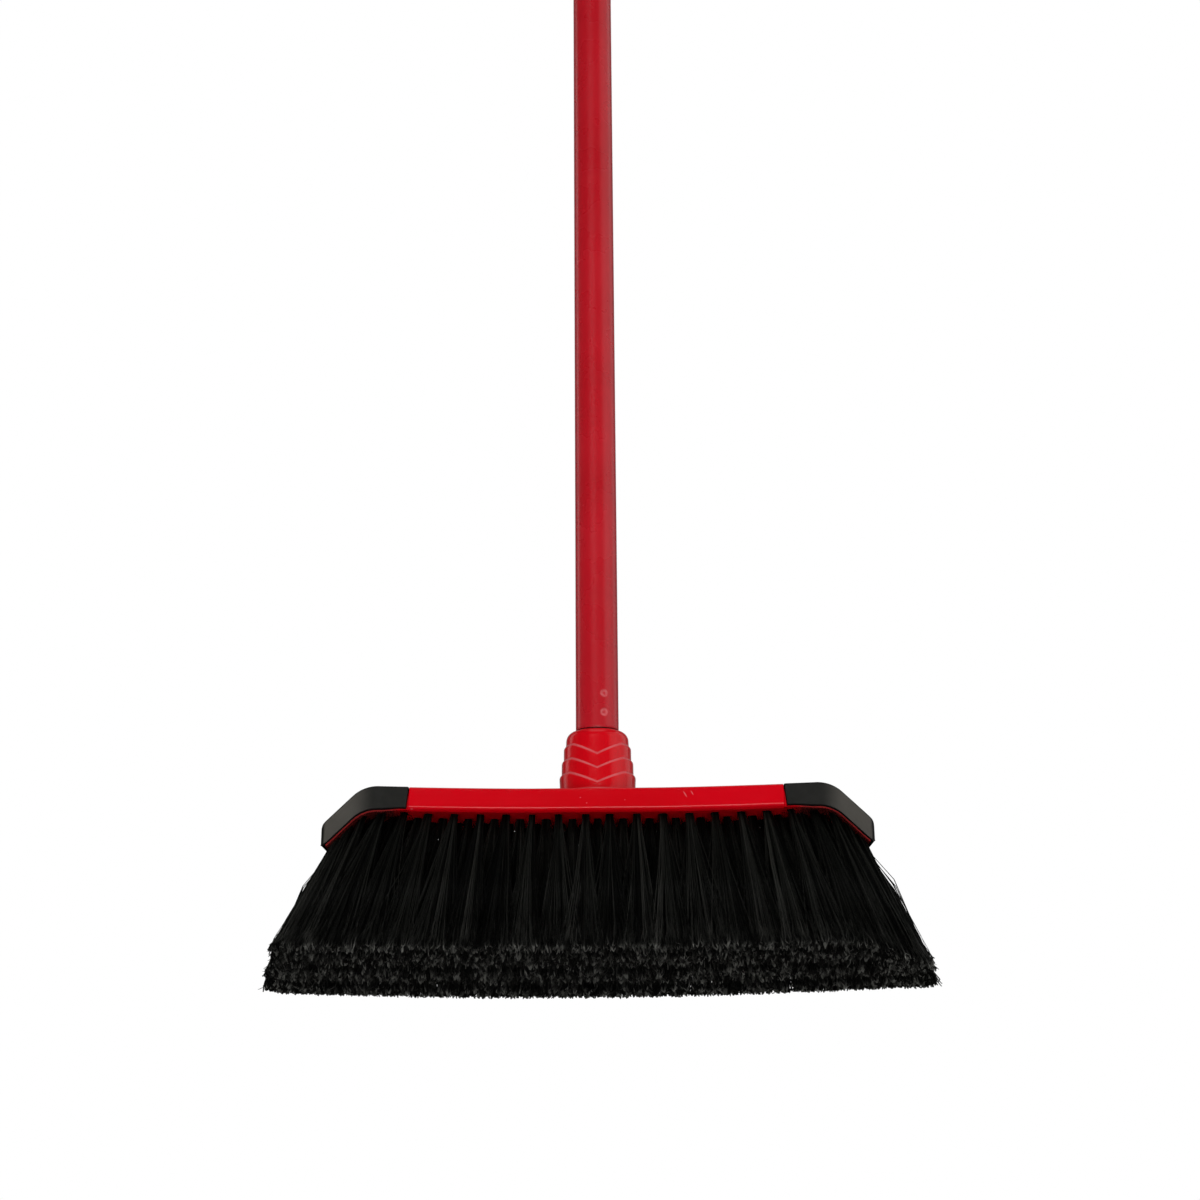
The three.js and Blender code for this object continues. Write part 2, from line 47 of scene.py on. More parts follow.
MM = 0.001
HEAD_LEVEL = -1258.6  # of the block's flat top in the part's frame
CAP_LEVEL = -24.0  # of the cap collar's foot, from which the cap's levels count

TUBE_RADIUS = 11.35
TUBE_BORE = 10.4
TUBE_FOOT = 36.0
TUBE_TOP = 1234.3
TUBE_EDGE = 0.15  # cut off the rims of both ends
CRIMP_TURN = math.radians(20)  # of the crimps from the front
CRIMP_LEVELS = (44.05, 54.35)
CRIMP_REACH = 2.1
CRIMP_DEPTH = 0.5

THREAD_LEAD = 5.0
THREAD_CORE = 8.0
THREAD_RADIUS = 9.9
RIDGE_BASE = 2.1  # width of the thread's ridge at its core
RIDGE_CREST = 0.9
RIDGE_FOOT = 7.35
RIDGE_TOP = 31.25
RUN_OUT = 1.5  # over which a ridge fades at its ends
INSERT_FOOT = 3.8
FLANGE_FOOT = 32.3
FLANGE_RADIUS = 10.8
SHANK_RADIUS = 10.1
SHANK_TOP = 64.35
SHANK_BEVEL = 1.5
SHANK_DENT_REACH = 2.9  # of the crimps' dents in the shank
SHANK_DENT = 0.75

CAP_RADIUS = 12.0
CAP_PLUG_RADIUS = 10.1
CAP_FLATS = 7.5  # from the middle
CAP_CLEAR = 20.0  # half length of the tools that cut the cap
SLOT_RADIUS = 4.5
SLOT_LEVELS = (24, 15)  # of the middles of its round ends

SEAT = 32.0  # of the insert's flange in the socket
BORE_RADIUS = 8.4
BORE_END = 2.6
GROOVE_RADIUS = 10.3
GROOVE_END = 5.1
MOUTH = 36.3
LIP_DROP = 1.1
MOUTH_RADIUS = 11.4
FOOT_RADIUS = 19.7  # of the socket, inside its fillet
FOOT_FILLET = 3.4
# Each tier's inner and outer radius and its rim's drop from the mouth, from the foot up.
TIERS = ((18.9, 20.0, 24.4), (17.75, 18.8, 16.7), (16.6, 17.7, 9.0))
V_DEPTH = 6.2  # how far the tiers' rims dip at the front and back
V_HALF = math.radians(48)

RISE_START = 30.0  # where the arch starts to rise towards the shoulders
SHOULDER_RISE = 1.8
SHOULDER_REACH = 112.0
SHOULDER_RADIUS = 18.0
DROOP = math.radians(44)
SHOULDER_END = SHOULDER_REACH + SHOULDER_RADIUS * DROOP
HALF_DEPTH = 26.85
THICKNESS = 11.7  # at the front
BACK_THICKNESS = 12.5
UNDER_EDGE = 2.5  # how far in from the faces the underside starts
BLOCK_TOP = 0.5
FACE_FOOT = 10.5
CORE_END = 137.5  # of the block, inside the bumpers
CORE_DROP = 0.75  # of the block's underside below the bumpers' walls
BUMPER_STARTS = {-1: 96.0, 1: 95.0}  # at the left and the right
BUMPER_END = 140.0
BUMPER_HALF = 27.45
BUMPER_FOOT = 10.6
BUMPER_DEEPER = 0.9  # how much deeper its wall is round the shoulder
BUMPER_PROUD = 0.6
BUMPER_WALL = 2.2
BUMPER_SLANT = 1.3  # how much further out its lower edge starts

# ---- Mesh helpers --------------------------------------------


def skin(rings, caps=(True, True), wrap=False):
    """Points and faces of a surface through closed rings, with flat ends where asked.

    With wrap, the last ring joins the first.
    """
    rings = np.asarray(rings, float)
    rows, count, _ = rings.shape
    i = np.arange(rows if wrap else rows - 1)[:, None]
    j = np.arange(count)[None, :]
    beside = (j + 1) % count
    low, high = i * count, (i + 1) % rows * count
    quads = np.stack([low + j, low + beside, high + beside, high + j], axis=-1)
    faces = quads.reshape(-1, 4).tolist()
    if not wrap and caps[0]:
        faces.append(list(range(count))[::-1])
    if not wrap and caps[1]:
        faces.append([(rows - 1) * count + k for k in range(count)])
    return rings.reshape(-1, 3), faces


def circle(sides):
    """Angles round a circle, with their cosines and sines."""
    angles = np.arange(sides) * 2 * math.pi / sides
    return angles, np.cos(angles), np.sin(angles)


def level_ring(c, s, radius, level):
    """A ring round Z: its radius and level are numbers, or arrays with one for each point."""
    return np.stack([radius * c, radius * s, np.full(len(c), level)], -1)


def lathe(profile, sides):
    """A body of revolution about Z from [radius, height] pairs, all off the axis."""
    _, c, s = circle(sides)
    return skin([level_ring(c, s, r, z) for r, z in profile])


def soften(corners, steps=4):
    """An outline with its corners rounded: each is (y, z, length cut from both sides)."""
    points = np.array([c[:2] for c in corners], float)
    out = []
    for k, (_, _, cut) in enumerate(corners):
        here = points[k]
        before = points[k - 1] - here
        after = points[(k + 1) % len(points)] - here
        start = here + before / np.linalg.norm(before) * cut
        end = here + after / np.linalg.norm(after) * cut
        for t in np.linspace(0, 1, steps + 1):
            out.append((1 - t) ** 2 * start + 2 * t * (1 - t) * here + t * t * end)
    return np.array(out)


def new_object(name, data):
    made = bpy.data.objects.new(name, data)
    bpy.context.scene.collection.objects.link(made)
    return made


def solid(name, surface, level=HEAD_LEVEL):
    """A closed object in metres, facing outwards, from a surface with points above a level."""
    points, faces = surface
    mesh = bpy.data.meshes.new(name)
    placed = (np.asarray(points) + [0, 0, level]) * MM
    mesh.from_pydata(placed.tolist(), [], faces)
    made = bmesh.new()
    made.from_mesh(mesh)
    bmesh.ops.recalc_face_normals(made, faces=made.faces[:])
    made.to_mesh(mesh)
    made.free()
    return new_object(name, mesh)


def apply_modifiers(made):
    """Bakes an object's modifiers into its mesh."""
    bpy.context.view_layer.update()
    graph = bpy.context.evaluated_depsgraph_get()
    mesh = bpy.data.meshes.new_from_object(made.evaluated_get(graph))
    made.modifiers.clear()
    old = made.data
    made.data = mesh
    bpy.data.meshes.remove(old)


def combine(made, tool, operation):
    """Joins a tool to an object, or cuts it from the object, and removes the tool."""
    modifier = made.modifiers.new("combine", "BOOLEAN")
    modifier.operation = operation
    modifier.solver = "EXACT"
    modifier.object = tool
    apply_modifiers(made)
    mesh = tool.data
    bpy.data.objects.remove(tool)
    bpy.data.meshes.remove(mesh)


def shade(made, angle=30.0, weighted=True):
    """Smooth shading with sharp edges above an angle, led by the larger faces."""
    made.data.shade_smooth()
    made.data.set_sharp_from_angle(angle=math.radians(angle))
    if weighted:
        modifier = made.modifiers.new("normals", "WEIGHTED_NORMAL")
        modifier.keep_sharp = True
        apply_modifiers(made)
    return made


def dress(made, body, nodes, material):
    """Gives a piece its finish and its body, and hides the CAD nodes that it stands for."""
    made.data.materials.clear()
    made.data.materials.append(material)
    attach(made, body)
    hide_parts(*nodes)


# ---- Arch of the head ----------------------------------------


def arch_at(distance):
    """Places x and z on the block's top line, at distances along it from the middle."""
    distance = np.asarray(distance, float)
    along = np.abs(distance)
    level = np.minimum(along, SHOULDER_REACH)
    rise = np.maximum(0, level - RISE_START) / (SHOULDER_REACH - RISE_START)
    angle = np.maximum(0, np.minimum(along, SHOULDER_END) - SHOULDER_REACH) / SHOULDER_RADIUS
    straight = np.maximum(0, along - SHOULDER_END)
    x = level + SHOULDER_RADIUS * np.sin(angle) + straight * math.cos(DROOP)
    drop = SHOULDER_RADIUS * (1 - np.cos(angle))
    return np.sign(distance) * x, SHOULDER_RISE * rise**1.5 - drop - straight * math.sin(DROOP)


def distance_to(x):
    """Distance along the arch of a place x, at either side."""
    table = np.linspace(0, 150, 6001)
    reach, _ = arch_at(table)
    return np.sign(x) * np.interp(np.abs(x), reach, table)


def bumper_foot(distance):
    """How deep the bumper's wall reaches, more round the shoulder."""
    share = np.clip((abs(distance) - 100) / 12, 0, 1)
    return BUMPER_FOOT + BUMPER_DEEPER * share * share * (3 - 2 * share)


def bumper_start(distance):
    """Where the bumper of this side starts."""
    return BUMPER_STARTS[-1 if distance < 0 else 1]


def underside(distance, y):
    """How far the block's underside lies below its top line."""
    if abs(distance) >= bumper_start(distance):
        return bumper_foot(distance) + CORE_DROP
    behind = 0.5 + 0.5 * y / (HALF_DEPTH - UNDER_EDGE)
    return THICKNESS + (BACK_THICKNESS - THICKNESS) * behind


def arch_stations(start, end):
    """Distances along the arch for a smooth sweep from one distance to another."""
    level = np.arange(0, SHOULDER_REACH, 4.0)
    bend = np.linspace(SHOULDER_REACH - 2, SHOULDER_END + 2, 30)
    half = np.concatenate([level[level < SHOULDER_REACH - 3], bend])
    both = np.concatenate([-half[::-1], half[1:]])
    inside = both[(both > start + 0.3) & (both < end - 0.3)]
    return np.concatenate([[start], inside, [end]])


def sweep(stations, sections):
    """Rings of the sections set upright along the arch."""
    rings = []
    for x, z, section in zip(*arch_at(stations), sections):
        across, level = section.T
        rings.append(np.stack([np.full(len(section), x), across, z + level], -1))
    return rings


def mirrored(half):
    """A front half section of (y, z, cut) corners, with its mirror behind."""
    return half + [(-y, z, cut) for y, z, cut in half[::-1]]


# ---- Materials -----------------------------------------------


def new_material(name):
    made = bpy.data.materials.new(name)
    made.use_nodes = True
    return made, made.node_tree, made.node_tree.nodes["Principled BSDF"]


def node(tree, kind, settings=None, **inputs):
    """A shader node with its settings and its inputs: values, or sockets to link from.

    An input is named by its label, with _ for a space, or by i and its number.
    """
    made = tree.nodes.new("ShaderNode" + kind)
    for key, value in (settings or {}).items():
        setattr(made, key, value)
    for key, value in inputs.items():
        numbered = key[0] == "i" and key[1:].isdigit()
        socket = made.inputs[int(key[1:]) if numbered else key.replace("_", " ")]
        if isinstance(value, bpy.types.NodeSocket):
            tree.links.new(value, socket)
        else:
            socket.default_value = value
    return made


def object_places(tree):
    return node(tree, "TexCoord").outputs["Object"]


def axes(tree, vector):
    return node(tree, "SeparateXYZ", Vector=vector).outputs


def normal_axes(tree):
    return axes(tree, node(tree, "NewGeometry").outputs["Normal"])


def noise(tree, places, scale, detail=3.0):
    made = node(tree, "TexNoise", Vector=places, Scale=scale, Detail=detail)
    return made.outputs["Fac"]


def ramp(tree, factor, stops):
    """A colour ramp from (position, colour) stops."""
    made = node(tree, "ValToRGB", Fac=factor)
    elements = made.color_ramp.elements
    while len(elements) < len(stops):
        elements.new(0.5)
    for element, (position, color) in zip(elements, stops):
        element.position = position
        element.color = (*color, 1)
    return made.outputs["Color"]


def math_node(tree, operation, a, b=0.0):
    made = node(tree, "Math", {"operation": operation}, i0=a, i1=b)
    return made.outputs[0]


def product(tree, a, b):
    return math_node(tree, "MULTIPLY", a, b)


def vector_node(tree, operation, *vectors):
    """The outputs, Value and Vector, of an operation on vectors."""
    inputs = {f"i{k}": vector for k, vector in enumerate(vectors)}
    return node(tree, "VectorMath", {"operation": operation}, **inputs).outputs


def span(tree, value, low, high, to_low=0.0, to_high=1.0):
    """A smooth step from one value to another, between low and high."""
    smooth = {"interpolation_type": "SMOOTHSTEP"}
    limits = {"From_Min": low, "From_Max": high, "To_Min": to_low, "To_Max": to_high}
    return node(tree, "MapRange", smooth, Value=value, **limits).outputs["Result"]


def drifting(tree, places, scale, detail, low, high):
    """A value that drifts between two over the surface."""
    return span(tree, noise(tree, places, scale, detail), 0.3, 0.7, low, high)


def clouded(tree, places, scale, detail, low, high):
    """A colour that drifts between two over the surface."""
    return ramp(tree, noise(tree, places, scale, detail), [(0.3, low), (0.7, high)])


def bump(tree, height, strength, distance, **below):
    made = node(tree, "Bump", Height=height, Strength=strength, Distance=distance, **below)
    return made.outputs["Normal"]


def mixed(tree, factor, a, b):
    """One colour into another by a factor."""
    made = node(tree, "Mix", {"data_type": "RGBA"})
    sockets = {s.identifier: s for s in made.inputs}
    for key, value in (("Factor_Float", factor), ("A_Color", a), ("B_Color", b)):
        if isinstance(value, bpy.types.NodeSocket):
            tree.links.new(value, sockets[key])
        else:
            sockets[key].default_value = value
    return {s.identifier: s for s in made.outputs}["Result_Color"]


def grey(level):
    return (level, level, level, 1)


def connect(tree, shader, color=None, rough=None, normal=None):
    """Links what varies over the surface to the shader."""
    for name, value in (("Base Color", color), ("Roughness", rough), ("Normal", normal)):
        if value is not None:
            tree.links.new(value, shader.inputs[name])


def crimps():
    """Direction and level of each crimp: two in line at the front, and two at the back."""
    sides = (CRIMP_TURN - math.pi / 2 + side for side in (0, math.pi))
    return [(towards, level) for towards in sides for level in CRIMP_LEVELS]


# pale pink of the painted highlight round the crimps
CRIMP_HIGHLIGHT_PINK = (0.58, 0.12, 0.13, 1)


def painted_steel():
    """Dark red enamel on a drawn tube: a faint orange peel, and a patchy painted highlight
    round the crimps' rims.
    """
    made, tree, shader = new_material("handle_enamel")
    places = object_places(tree)
    color = clouded(tree, places, 26, 4, (0.385, 0.004, 0.010), (0.44, 0.006, 0.014))
    # painted highlight: a pale ring round each crimp's rim, broken into patches
    pale_marks = 0.0
    for towards, level in crimps():
        spot = (11 * math.cos(towards), 11 * math.sin(towards), HEAD_LEVEL + level)
        away = vector_node(tree, "DISTANCE", places, [v * MM for v in spot])["Value"]
        inside = span(tree, away, 0.0026, 0.0016)
        rim = product(tree, inside, span(tree, away, 0.0003, 0.0013, 0.25, 1.0))
        pale_marks = math_node(tree, "MAXIMUM", rim, pale_marks)
    patches = span(tree, noise(tree, places, 900), 0.3, 0.6, 0.3, 0.8)
    marked = mixed(tree, product(tree, pale_marks, patches), color, CRIMP_HIGHLIGHT_PINK)
    peel = bump(tree, noise(tree, places, 900, 2), 0.10, 0.00015)
    wave = bump(tree, noise(tree, places, 120, 2), 0.08, 0.0004, Normal=peel)
    connect(tree, shader, marked, drifting(tree, places, 60, 3, 0.25, 0.32), wave)
    shader.inputs["Specular IOR Level"].default_value = 0.5
    return made


# Scuffs and specks on the block's front face, and a painted glint at its lower left corner: x,
# z, half length, half width, slope from level.
SCUFFS_AND_GLINT = (
    (44.6, -3.3, 2.0, 0.35, -60),
    (48.2, -2.7, 1.4, 0.3, -62),
    (-8.6, -4.6, 0.45, 0.35, 0),
    (-5.4, -7.4, 0.4, 0.35, 0),
    (14.0, -6.0, 0.4, 0.3, 0),
    # painted glint where the face's lower edge meets the left bumper
    (-94.3, -9.7, 0.9, 0.5, 0),
)
MARK_DEPTH = 1.5  # how far a scuff or the painted glint reaches to both sides of the face
# pale pink of the dust specks and scuffs, and of the painted highlights on the tier rims and
# the corner
PALE_WEAR_AND_HIGHLIGHT = (0.66, 0.25, 0.27, 1)
SPECK_WEAR, TIER_RIM_HIGHLIGHT, SCUFF_AND_GLINT_PALENESS = 0.35, 0.3, 0.36  # how pale the dust specks, the painted highlight on the tier rims, and the scuffs with the painted glint are
PAINTED_SHADE_START, PAINTED_SHADE_FULL = 0.0985, 0.106  # in metres from the middle, where the painted shade by the bumpers starts and where it is full
EDGE_DEPTHS = (0.0236, 0.0246)  # in metres, where the underside turns into the faces
# painted shade on the underside beside the bumpers: darker inside, lighter at the edge
PAINTED_SHADE_UNDER, PAINTED_SHADE_EDGE = (0.09, 0.008, 0.008, 1), (0.32, 0.024, 0.024, 1)


def scuffed_or_glinting(tree, places):
    """Where the block's front face is scuffed or carries the painted glint, from 0 to 1."""
    marked = 0.0
    for x, z, length, width, slope in SCUFFS_AND_GLINT:
        spot = {
            "Location": (x * MM, -HALF_DEPTH * MM, (HEAD_LEVEL + z) * MM),
            "Rotation": (0, -math.radians(slope), 0),
            "Scale": (length * MM, MARK_DEPTH * MM, width * MM),
        }
        local = node(tree, "Mapping", {"vector_type": "TEXTURE"}, Vector=places, **spot)
        away = vector_node(tree, "LENGTH", local.outputs["Vector"])["Value"]
        marked = math_node(tree, "MAXIMUM", span(tree, away, 1.2, 0.5), marked)
    return marked


def red_plastic():
    """Glossy moulded polypropylene with handling marks, painted highlights on the socket's
    tier rims and at one corner, and painted shade beside the bumpers.
    """
    made, tree, shader = new_material("block_gloss")
    places = object_places(tree)
    x, y, z = axes(tree, places)
    foot, full, end, start = ((HEAD_LEVEL + level) * MM for level in (0.9, 1.5, 29.5, 28.5))
    color = clouded(tree, places, 18, 3, (0.52, 0.0, 0.004), (0.57, 0.0, 0.006))

    marks = span(tree, noise(tree, places, 700, 1), 0.76, 0.80)
    patches = span(tree, noise(tree, places, 24, 2), 0.55, 0.65)
    dust = product(tree, marks, patches)
    specks = product(tree, dust, SPECK_WEAR)
    # painted highlight: the upward-facing rounded rims of the socket's tiers are painted paler
    upwards = span(tree, normal_axes(tree)["Z"], 0.2, 0.55)
    tiers = product(tree, span(tree, z, foot, full), span(tree, z, end, start, 0.0, TIER_RIM_HIGHLIGHT))
    rim_highlight = product(tree, upwards, tiers)
    scuff_and_glint = product(tree, scuffed_or_glinting(tree, places), SCUFF_AND_GLINT_PALENESS)
    pale_marks = math_node(tree, "MAXIMUM", math_node(tree, "MAXIMUM", specks, rim_highlight), scuff_and_glint)
    marked = mixed(tree, pale_marks, color, PALE_WEAR_AND_HIGHLIGHT)

    # painted shade: the underside beside the bumpers is darkened, most of all inside its edge
    edge = span(tree, math_node(tree, "ABSOLUTE", y), *EDGE_DEPTHS)
    painted_shade = mixed(tree, edge, PAINTED_SHADE_UNDER, PAINTED_SHADE_EDGE)
    shade_reach = span(tree, math_node(tree, "ABSOLUTE", x), PAINTED_SHADE_START, PAINTED_SHADE_FULL)
    duller = span(tree, z, (HEAD_LEVEL - 1) * MM, (HEAD_LEVEL + 4) * MM, 0.0, 0.08)
    rough = math_node(tree, "ADD", drifting(tree, places, 150, 3, 0.10, 0.14), duller)
    wave = bump(tree, noise(tree, places, 90, 2), 0.05, 0.0005)
    connect(tree, shader, mixed(tree, shade_reach, marked, painted_shade), rough, wave)
    shader.inputs["Specular IOR Level"].default_value = 0.4
    return made


def rubber():
    """Matte black rubber, painted a lighter grey on the faces where the ends droop, as painted
    light, and near black on its rounded edges and top, as painted shade.
    """
    made, tree, shader = new_material("bumper_rubber")
    places = object_places(tree)
    reach = math_node(tree, "ABSOLUTE", axes(tree, places)["X"])
    dark = clouded(tree, places, 120, 4, (0.011, 0.011, 0.0095), (0.015, 0.015, 0.0135))
    # painted light: the faces where the ends droop are painted a lighter grey
    lit_droop_grey = clouded(tree, places, 90, 4, (0.056, 0.052, 0.045), (0.067, 0.062, 0.054))
    face = mixed(tree, span(tree, reach, 0.113, 0.127), dark, lit_droop_grey)
    # painted shade: the rounded edges and top, which face neither front nor back, are painted
    # near black
    facing = math_node(tree, "ABSOLUTE", normal_axes(tree)["Y"])
    color = mixed(tree, span(tree, facing, 0.80, 0.97), (0.004, 0.004, 0.0038, 1), face)
    grain = bump(tree, noise(tree, places, 1500, 2), 0.25, 0.0001)
    connect(tree, shader, color, drifting(tree, places, 200, 3, 0.58, 0.72), grain)
    shader.inputs["Specular IOR Level"].default_value = 0.3
    return made


def plain_plastic(name, low, high, roughness, grain_scale):
    """A moulded matte black plastic with a fine spark-eroded grain."""
    made, tree, shader = new_material(name)
    places = object_places(tree)
    color = clouded(tree, places, 40, 3, [low] * 3, [high] * 3)
    grain = bump(tree, noise(tree, places, grain_scale, 3), 0.2, 0.0002)
    rough = drifting(tree, places, 150, 2, roughness - 0.05, roughness + 0.05)
    connect(tree, shader, color, rough, grain)
    return made


# Colours of a strand for its tone, over its upper part, its lower part and its cut end. The
# lower part is painted lighter against the shade among the strands; the cut ends are paler
# partly from their frayed fibres and partly as painted light and glints.
UPPER_TONES = (
    (0.0, (0.0006, 0.0007, 0.0006)),
    (0.35, (0.0020, 0.0022, 0.0019)),
    (0.65, (0.0085, 0.0089, 0.0076)),
    (1.0, (0.0200, 0.0200, 0.0175)),
)
LOWER_TONES = (
    (0.0, (0.0006, 0.0007, 0.0006)),
    (0.35, (0.0036, 0.0038, 0.0033)),
    (0.65, (0.0150, 0.0156, 0.0137)),
    (1.0, (0.034, 0.034, 0.0306)),
)
CUT_TONES = (
    (0.1, (0.0032, 0.0032, 0.0028)),
    (0.4, (0.0240, 0.0243, 0.0215)),
    (0.7, (0.084, 0.085, 0.077)),
    (1.0, (0.18, 0.18, 0.165)),
)


def fibre():
    """Black synthetic bristle: U carries a strand's tone, V its length from root to tip."""
    made, tree, shader = new_material("bristle_fibre")
    uv = node(tree, "UVMap", {"uv_map": "OFBake"}).outputs["UV"]
    tone, along, _ = axes(tree, uv)
    # the lower part and the cut ends carry painted light, as the tables above say
    upper, lower, cut = (ramp(tree, tone, t) for t in (UPPER_TONES, LOWER_TONES, CUT_TONES))
    stem = mixed(tree, span(tree, along, 0.5, 0.76), upper, lower)
    color = mixed(tree, span(tree, along, 0.965, 0.99), stem, cut)
    connect(tree, shader, color, span(tree, tone, 0.0, 1.0, 0.5, 0.36))
    shader.inputs["Specular IOR Level"].default_value = 0.15
    return made


# ---- Handle --------------------------------------------------


def crimp_distances(angles, levels, radius):
    """How far every place of a round wall is from each crimp."""
    for towards, middle in crimps():
        turn = (angles - towards + math.pi) % (2 * math.pi) - math.pi
        yield np.hypot(radius * turn[None, :], levels[:, None] - middle)


def handle_tube():
    """The tube with a soft dent at each crimp, wall and all."""
    angles, c, s = circle(176)
    low = [TUBE_FOOT, TUBE_FOOT + 0.3, 37.5, 39.0]
    crimped = np.arange(41.0, 58.0, 0.25)
    high = list(np.linspace(64, TUBE_TOP - 0.2, 12)) + [TUBE_TOP]
    levels = np.array(low + list(crimped) + high)
    dent = np.zeros((len(levels), len(angles)))
    for away in crimp_distances(angles, levels, TUBE_RADIUS):
        share = np.clip(1 - (away / CRIMP_REACH) ** 2, 0, 1)
        dent += CRIMP_DEPTH * np.sqrt(share) * np.minimum(1, share * 3)
    outer, inner = [], []
    for row, level in enumerate(levels):
        edge = TUBE_EDGE if row in (0, len(levels) - 1) else 0.0
        outer.append(level_ring(c, s, TUBE_RADIUS - edge - dent[row], level))
        inner.append(level_ring(c, s, TUBE_BORE + edge - dent[row], level))
    made = solid("handle_shell", skin(outer + inner[::-1], wrap=True))
    return shade(made, 40, weighted=False)


def ridge(levels, angles, first, last, base, crest, depth):
    """Height of a right-handed ridge over its core, for each level and angle."""
    turn = levels[:, None] / THREAD_LEAD - angles[None, :] / (2 * math.pi)
    off = np.abs((turn + 0.5) % 1 - 0.5) * THREAD_LEAD
    height = np.clip((base / 2 - off) / ((base - crest) / 2), 0, 1) * depth
    centre = levels[:, None] - ((turn + 0.5) % 1 - 0.5) * THREAD_LEAD
    past_start = np.clip((centre - first) / RUN_OUT, 0, 1)
    before_end = np.clip((last - centre) / RUN_OUT, 0, 1)
    return height * (past_start * before_end)


def thread_insert():
    """The threaded plug that joins handle and socket, up to its shank in the tube."""
    angles, c, s = circle(120)
    levels = np.arange(INSERT_FOOT + 2.0, FLANGE_FOOT - 0.3, 0.22)
    depth = THREAD_RADIUS - THREAD_CORE
    height = ridge(levels, angles, RIDGE_FOOT, RIDGE_TOP, RIDGE_BASE, RIDGE_CREST, depth)
    shank = np.arange(TUBE_FOOT + 1.0, SHANK_TOP - 1.6, 0.5)
    dent = np.zeros((len(shank), len(angles)))
    for away in crimp_distances(angles, shank, TUBE_BORE):
        dent += SHANK_DENT * np.clip(1 - (away / SHANK_DENT_REACH) ** 2, 0, 1)
    profile = [(6.0, INSERT_FOOT), (6.6, 3.9), (7.8, 5.1), (7.97, 5.4)]
    profile += zip(THREAD_CORE + height, levels)
    profile += [
        (THREAD_CORE, FLANGE_FOOT),
        (10.4, FLANGE_FOOT),
        (FLANGE_RADIUS, FLANGE_FOOT + 0.3),
        (FLANGE_RADIUS, TUBE_FOOT - 0.3),
        (10.5, TUBE_FOOT - 0.01),
        (SHANK_RADIUS, TUBE_FOOT - 0.01),
    ]
    profile += zip(SHANK_RADIUS - dent, shank)
    bevel = SHANK_BEVEL
    profile += [(SHANK_RADIUS, SHANK_TOP - bevel), (SHANK_RADIUS - bevel, SHANK_TOP)]
    rings = [level_ring(c, s, radius, level) for radius, level in profile]
    return shade(solid("insert_threaded", skin(rings)), 40, weighted=False)


def hanger_cap():
    """The domed cap with two flats and a hanging slot, its edges moulded round."""
    bend = np.linspace(0, 1.45, 14)
    dome = [(CAP_RADIUS * math.cos(a), 22 + CAP_RADIUS * math.sin(a)) for a in bend]
    plug = [(8.6, -20.0), (CAP_PLUG_RADIUS, -18.5), (CAP_PLUG_RADIUS, 0.0)]
    profile = [*plug, (11.2, 0.0), (CAP_RADIUS, 0.8), *dome]
    made = solid("hanger_domed", lathe(profile, 96), CAP_LEVEL)

    ends = (-CAP_CLEAR, CAP_CLEAR)
    low = [(CAP_FLATS, 7.5, 0.6), (CAP_CLEAR, 7.5, 0.6)]
    flat = soften(low + [(y, 50, cut) for y, _, cut in low[::-1]])
    arc = np.linspace(0, math.pi, 21)
    halves = zip((SLOT_RADIUS, -SLOT_RADIUS), SLOT_LEVELS)
    slot = [np.stack([r * np.cos(arc), level + r * np.sin(arc)], -1) for r, level in halves]
    slot = np.concatenate(slot)
    cuts = [
        [np.stack([np.full(len(flat), x), side * flat[:, 0], flat[:, 1]], -1) for x in ends]
        for side in (-1, 1)
    ]
    cuts.append([np.stack([slot[:, 0], np.full(len(slot), y), slot[:, 1]], -1) for y in ends])
    for rings in cuts:
        combine(made, solid("cut", skin(rings), CAP_LEVEL), "DIFFERENCE")

    remesh = made.modifiers.new("even", "REMESH")
    remesh.mode = "VOXEL"
    remesh.voxel_size = 0.4 * MM
    soft = made.modifiers.new("soften", "SMOOTH")
    soft.factor = 0.5
    soft.iterations = 8
    apply_modifiers(made)
    return shade(made, 60, weighted=False)


# ---- Block with its socket -----------------------------------


def rim_dip(angles):
    """How far the tiers' rims dip: to a V at the front and back, not at the sides."""
    from_middle = np.abs(math.pi / 2 - (angles % math.pi))
    return V_DEPTH * np.maximum(0, 1 - from_middle / V_HALF) ** 1.15


def socket_rings():
    """Rings from the foot's disc up the stepped outside, over the lip and down the bore."""
    angles, c, s = circle(144)
    dip = rim_dip(angles)
    rings = []

    def add(radius, drop, dips=0.0):
        rings.append(level_ring(c, s, radius, MOUTH - drop - dips * dip))

    add(23.1, 38.9)
    for a in np.linspace(math.pi / 2, 0, 8):
        add(FOOT_RADIUS + FOOT_FILLET * (1 - math.cos(a)), 32.9 + FOOT_FILLET * math.sin(a))
    for inner, outer, rim in TIERS:
        step = outer - inner
        corners = [
            (outer + 0.05, rim + step + 3, 0.01),
            (outer, rim + step, 0.85),
            (inner, rim, 0.16),
            (inner - 0.05, rim - 3, 0.01),
        ]
        for radius, drop in soften(corners)[5:15]:  # without the first and last corners
            add(radius, drop, 1.0)
    for a in np.linspace(math.pi / 2, 0.12, 12):
        add(MOUTH_RADIUS + 5.05 * math.sin(a), LIP_DROP + 5.0 * (1 - math.cos(a)))
    for wider, drop in ((0.25, 0.03), (0.05, 0.2), (0, 0.5)):
        add(MOUTH_RADIUS + wider, LIP_DROP + drop)
    add(MOUTH_RADIUS, MOUTH - SEAT - 0.05)
    groove = RIDGE_BASE + 0.7 + 0.253
    levels = np.arange(SEAT, BORE_END + 0.3, -0.35)
    depth = GROOVE_RADIUS - BORE_RADIUS
    height = ridge(levels, angles, GROOVE_END, 60, groove, 1.6, depth)
    rings += [level_ring(c, s, radius, z) for radius, z in zip(BORE_RADIUS + height, levels)]
    add(BORE_RADIUS, MOUTH - BORE_END)
    return rings


